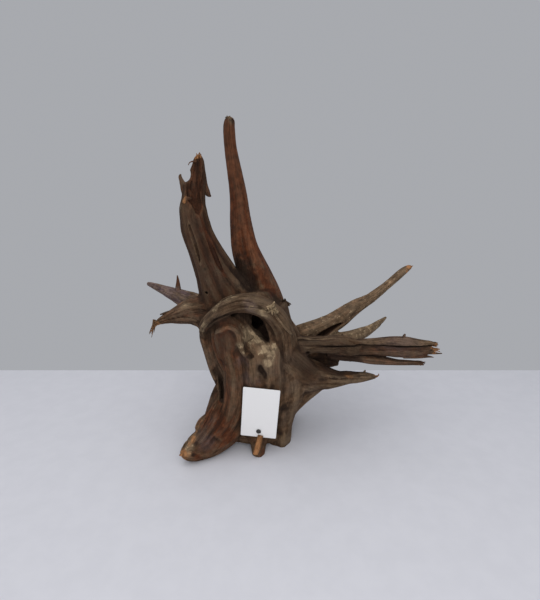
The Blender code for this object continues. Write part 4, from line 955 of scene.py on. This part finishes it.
for tuft, (root, reach, length, count, radius, tone) in TUFTS.items():
    draw = random.Random(tuft)
    for number in range(count):
        heading = Vector([part + draw.uniform(-FIBRE_SPLAY, FIBRE_SPLAY) for part in reach]).normalized()
        foot = Vector(root) + Vector([draw.uniform(-FIBRE_SPREAD, FIBRE_SPREAD) for _ in range(3)])
        span = length * draw.uniform(0.6, 1.0)
        line = []
        for step, (share, size) in enumerate(FIBRE_TAPER):
            droop = Vector((0, 0, -FIBRE_DROOP * span * step))
            line.append((*(foot + heading * span * share + droop), radius * size, radius * size))
        name = f"{tuft} {number}"
        strands[name] = line
        HABITS[name] = (0, 0, 1, *tone)
        grow(bm, name, line, *FIBRE_MAKE)
splinters = made_from(bm, "splinters")
record_the_grain(splinters, strands)
splinters.data.materials.append(weathered)
set_down(splinters, "weathered_wood", "driftwood")

# The shop tag is a blank white card of coated board with rounded corners, a little bowed, and
# punched near its lower edge for the tack that holds it to the stump.
CARD = 0.5
HOLE = 2.0
bm = bmesh.new()
bmesh.ops.create_grid(bm, x_segments=38, y_segments=62, size=0.5)
bmesh.ops.scale(bm, vec=(TAG_WIDTH + 1, TAG_HEIGHT + 1, 1), verts=bm.verts)
for vert in bm.verts:
    x, y = vert.co.x / TAG_WIDTH * 2, vert.co.y / TAG_HEIGHT * 2
    vert.co.z = 0.25 * (y - 0.2) ** 2 * (1 + 0.4 * x) * (y > 0.2)
bmesh.ops.solidify(bm, geom=bm.faces[:], thickness=-CARD)
bmesh.ops.translate(bm, vec=(0, 0, -TAG_THICKNESS / 2), verts=bm.verts)
bm.transform(on_tag)
tag = made_from(bm, "tag_card")
half = (TAG_WIDTH / 2, TAG_HEIGHT / 2, 5)
combined(tag, block("trim", [-side for side in half], half, on_tag, 1.2), "INTERSECT")
combined(tag, turned("punch", [(0, -3), (HOLE, -3), (HOLE, 3), (0, 3)], 48, at_hole))
made, start, shader = finish("white_card")
sheet = start.millimetres()
pulp = sheet.stretched(0.25).noise(4)
cloud = sheet.stretched(9.0).noise(3)
tint = (0.6 * cloud + 0.4 * pulp).eased(0.35, 0.65).blend((0.55, 0.56, 0.6), (0.6, 0.61, 0.65))
dimples = (pulp + cloud).bump(0.3, 0.0001)
feed(shader, {"Base Color": tint, "Roughness": 0.42 + 0.2 * pulp, "Normal": dimples})
tag.data.materials.append(made)
set_down(tag, "white_card", "shop_tag")

# The tack is dark painted steel: a low domed head on a round shank with a point, pressed
# through the tag's hole into the wood.
HEAD = 2.6
SHANK = 0.9
RIM = 0.3
under = TAG_THICKNESS / 2 + CLEARANCE
slopes = [math.radians(turn) for turn in range(6, 90, 6)]
profile = [(0, under - 9), (SHANK / 2, under - 8), (SHANK, under - 7), (SHANK, under)]
profile += [(HEAD - 0.15, under), (HEAD, under + 0.12), (HEAD, under + RIM)]
profile += [(HEAD * math.cos(slope), under + RIM + math.sin(slope)) for slope in slopes]
tack = turned("tack", profile + [(0, under + RIM + 1)], 64, at_hole)
made, start, shader = finish("dark_painted_steel")
spot = start.millimetres()
orange_peel = spot.stretched(0.35).noise(3)
rubbed = spot.stretched(0.9, 0.2, 0.9).noise(4).eased(0.62, 0.7)
paint = rubbed.blend((0.018, 0.016, 0.015), (0.06, 0.052, 0.045))
dimples = orange_peel.bump(0.25, 0.0001)
feed(shader, {"Base Color": paint, "Roughness": 0.36 + 0.25 * orange_peel, "Normal": dimples})
tack.data.materials.append(made)
set_down(tack, "dark_painted_steel", "tag_tack")

# The floor is a plain pale table top with a matt painted backdrop beyond it, lit by a broad
# soft light overhead, a weaker one in front, and a pale room.
BACKDROP_LINE = 173.0
PALE_ROOM = (0.39, 0.40, 0.425)
bm = bmesh.new()
bmesh.ops.create_grid(bm, x_segments=1, y_segments=1, size=6.0)
floor = made_from(bm, "floor")
made, start, shader = finish("pale_table")
ground = start.node("TexCoord", output="Object")
beyond = ground.node("SeparateXYZ", (), {"Vector": ground}, "Y")
edge = (place @ Vector((0, BACKDROP_LINE, 0))).y
faint = ground.stretched(0.02).noise(2)
table_top = faint.eased(0.3, 0.7).blend((0.64, 0.65, 0.70), (0.66, 0.67, 0.72))
backdrop = beyond.eased(edge - 0.0005, edge + 0.0005)
feed(shader, {"Base Color": table_top, "Roughness": 0.6, "Specular IOR Level": 0.2})
glow = start.node("Emission", (), {"Color": (*PALE_ROOM, 1.0)})
table = Shade(start.tree, shader.outputs["BSDF"])
either = start.node("MixShader", (), {0: backdrop, 1: table, 2: glow})
feed(made.node_tree.nodes["Material Output"], {"Surface": either})
floor.data.materials.append(made)

room = bpy.data.worlds.new("room")
scene.world = room
room.use_nodes = True
feed(room.node_tree.nodes["Background"], {"Color": (*PALE_ROOM, 1.0)})
for name, where, size, power in (
    ("ceiling_panel", (-0.2, -0.2, 1.1), 1.5, 7.2),
    ("front_fill", (0.1, -1.0, 0.5), 0.9, 4.7),
):
    lamp = bpy.data.lights.new(name, "AREA")
    lamp.energy, lamp.size, lamp.color = power, size, (1.0, 0.975, 0.955)
    holder = bpy.data.objects.new(name, lamp)
    scene.collection.objects.link(holder)
    holder.location = where
    aim = Vector((0, 0, 0.15)) - Vector(where)
    holder.rotation_euler = aim.to_track_quat("-Z", "Y").to_euler()

# The camera, with a phone's wide lens, stands in front of the trunk and looks a little down.
CAMERA = Vector((0, -426, 277))
LOOKS_DOWN = 15
lens = bpy.data.cameras.new("camera")
lens.lens = 24.36
lens.clip_start = 0.01
camera = bpy.data.objects.new("camera", lens)
scene.collection.objects.link(camera)
camera.location = place @ CAMERA
camera.rotation_euler = (math.radians(90 - LOOKS_DOWN), 0, 0)
scene.camera = camera
scene.view_settings.view_transform = "Standard"
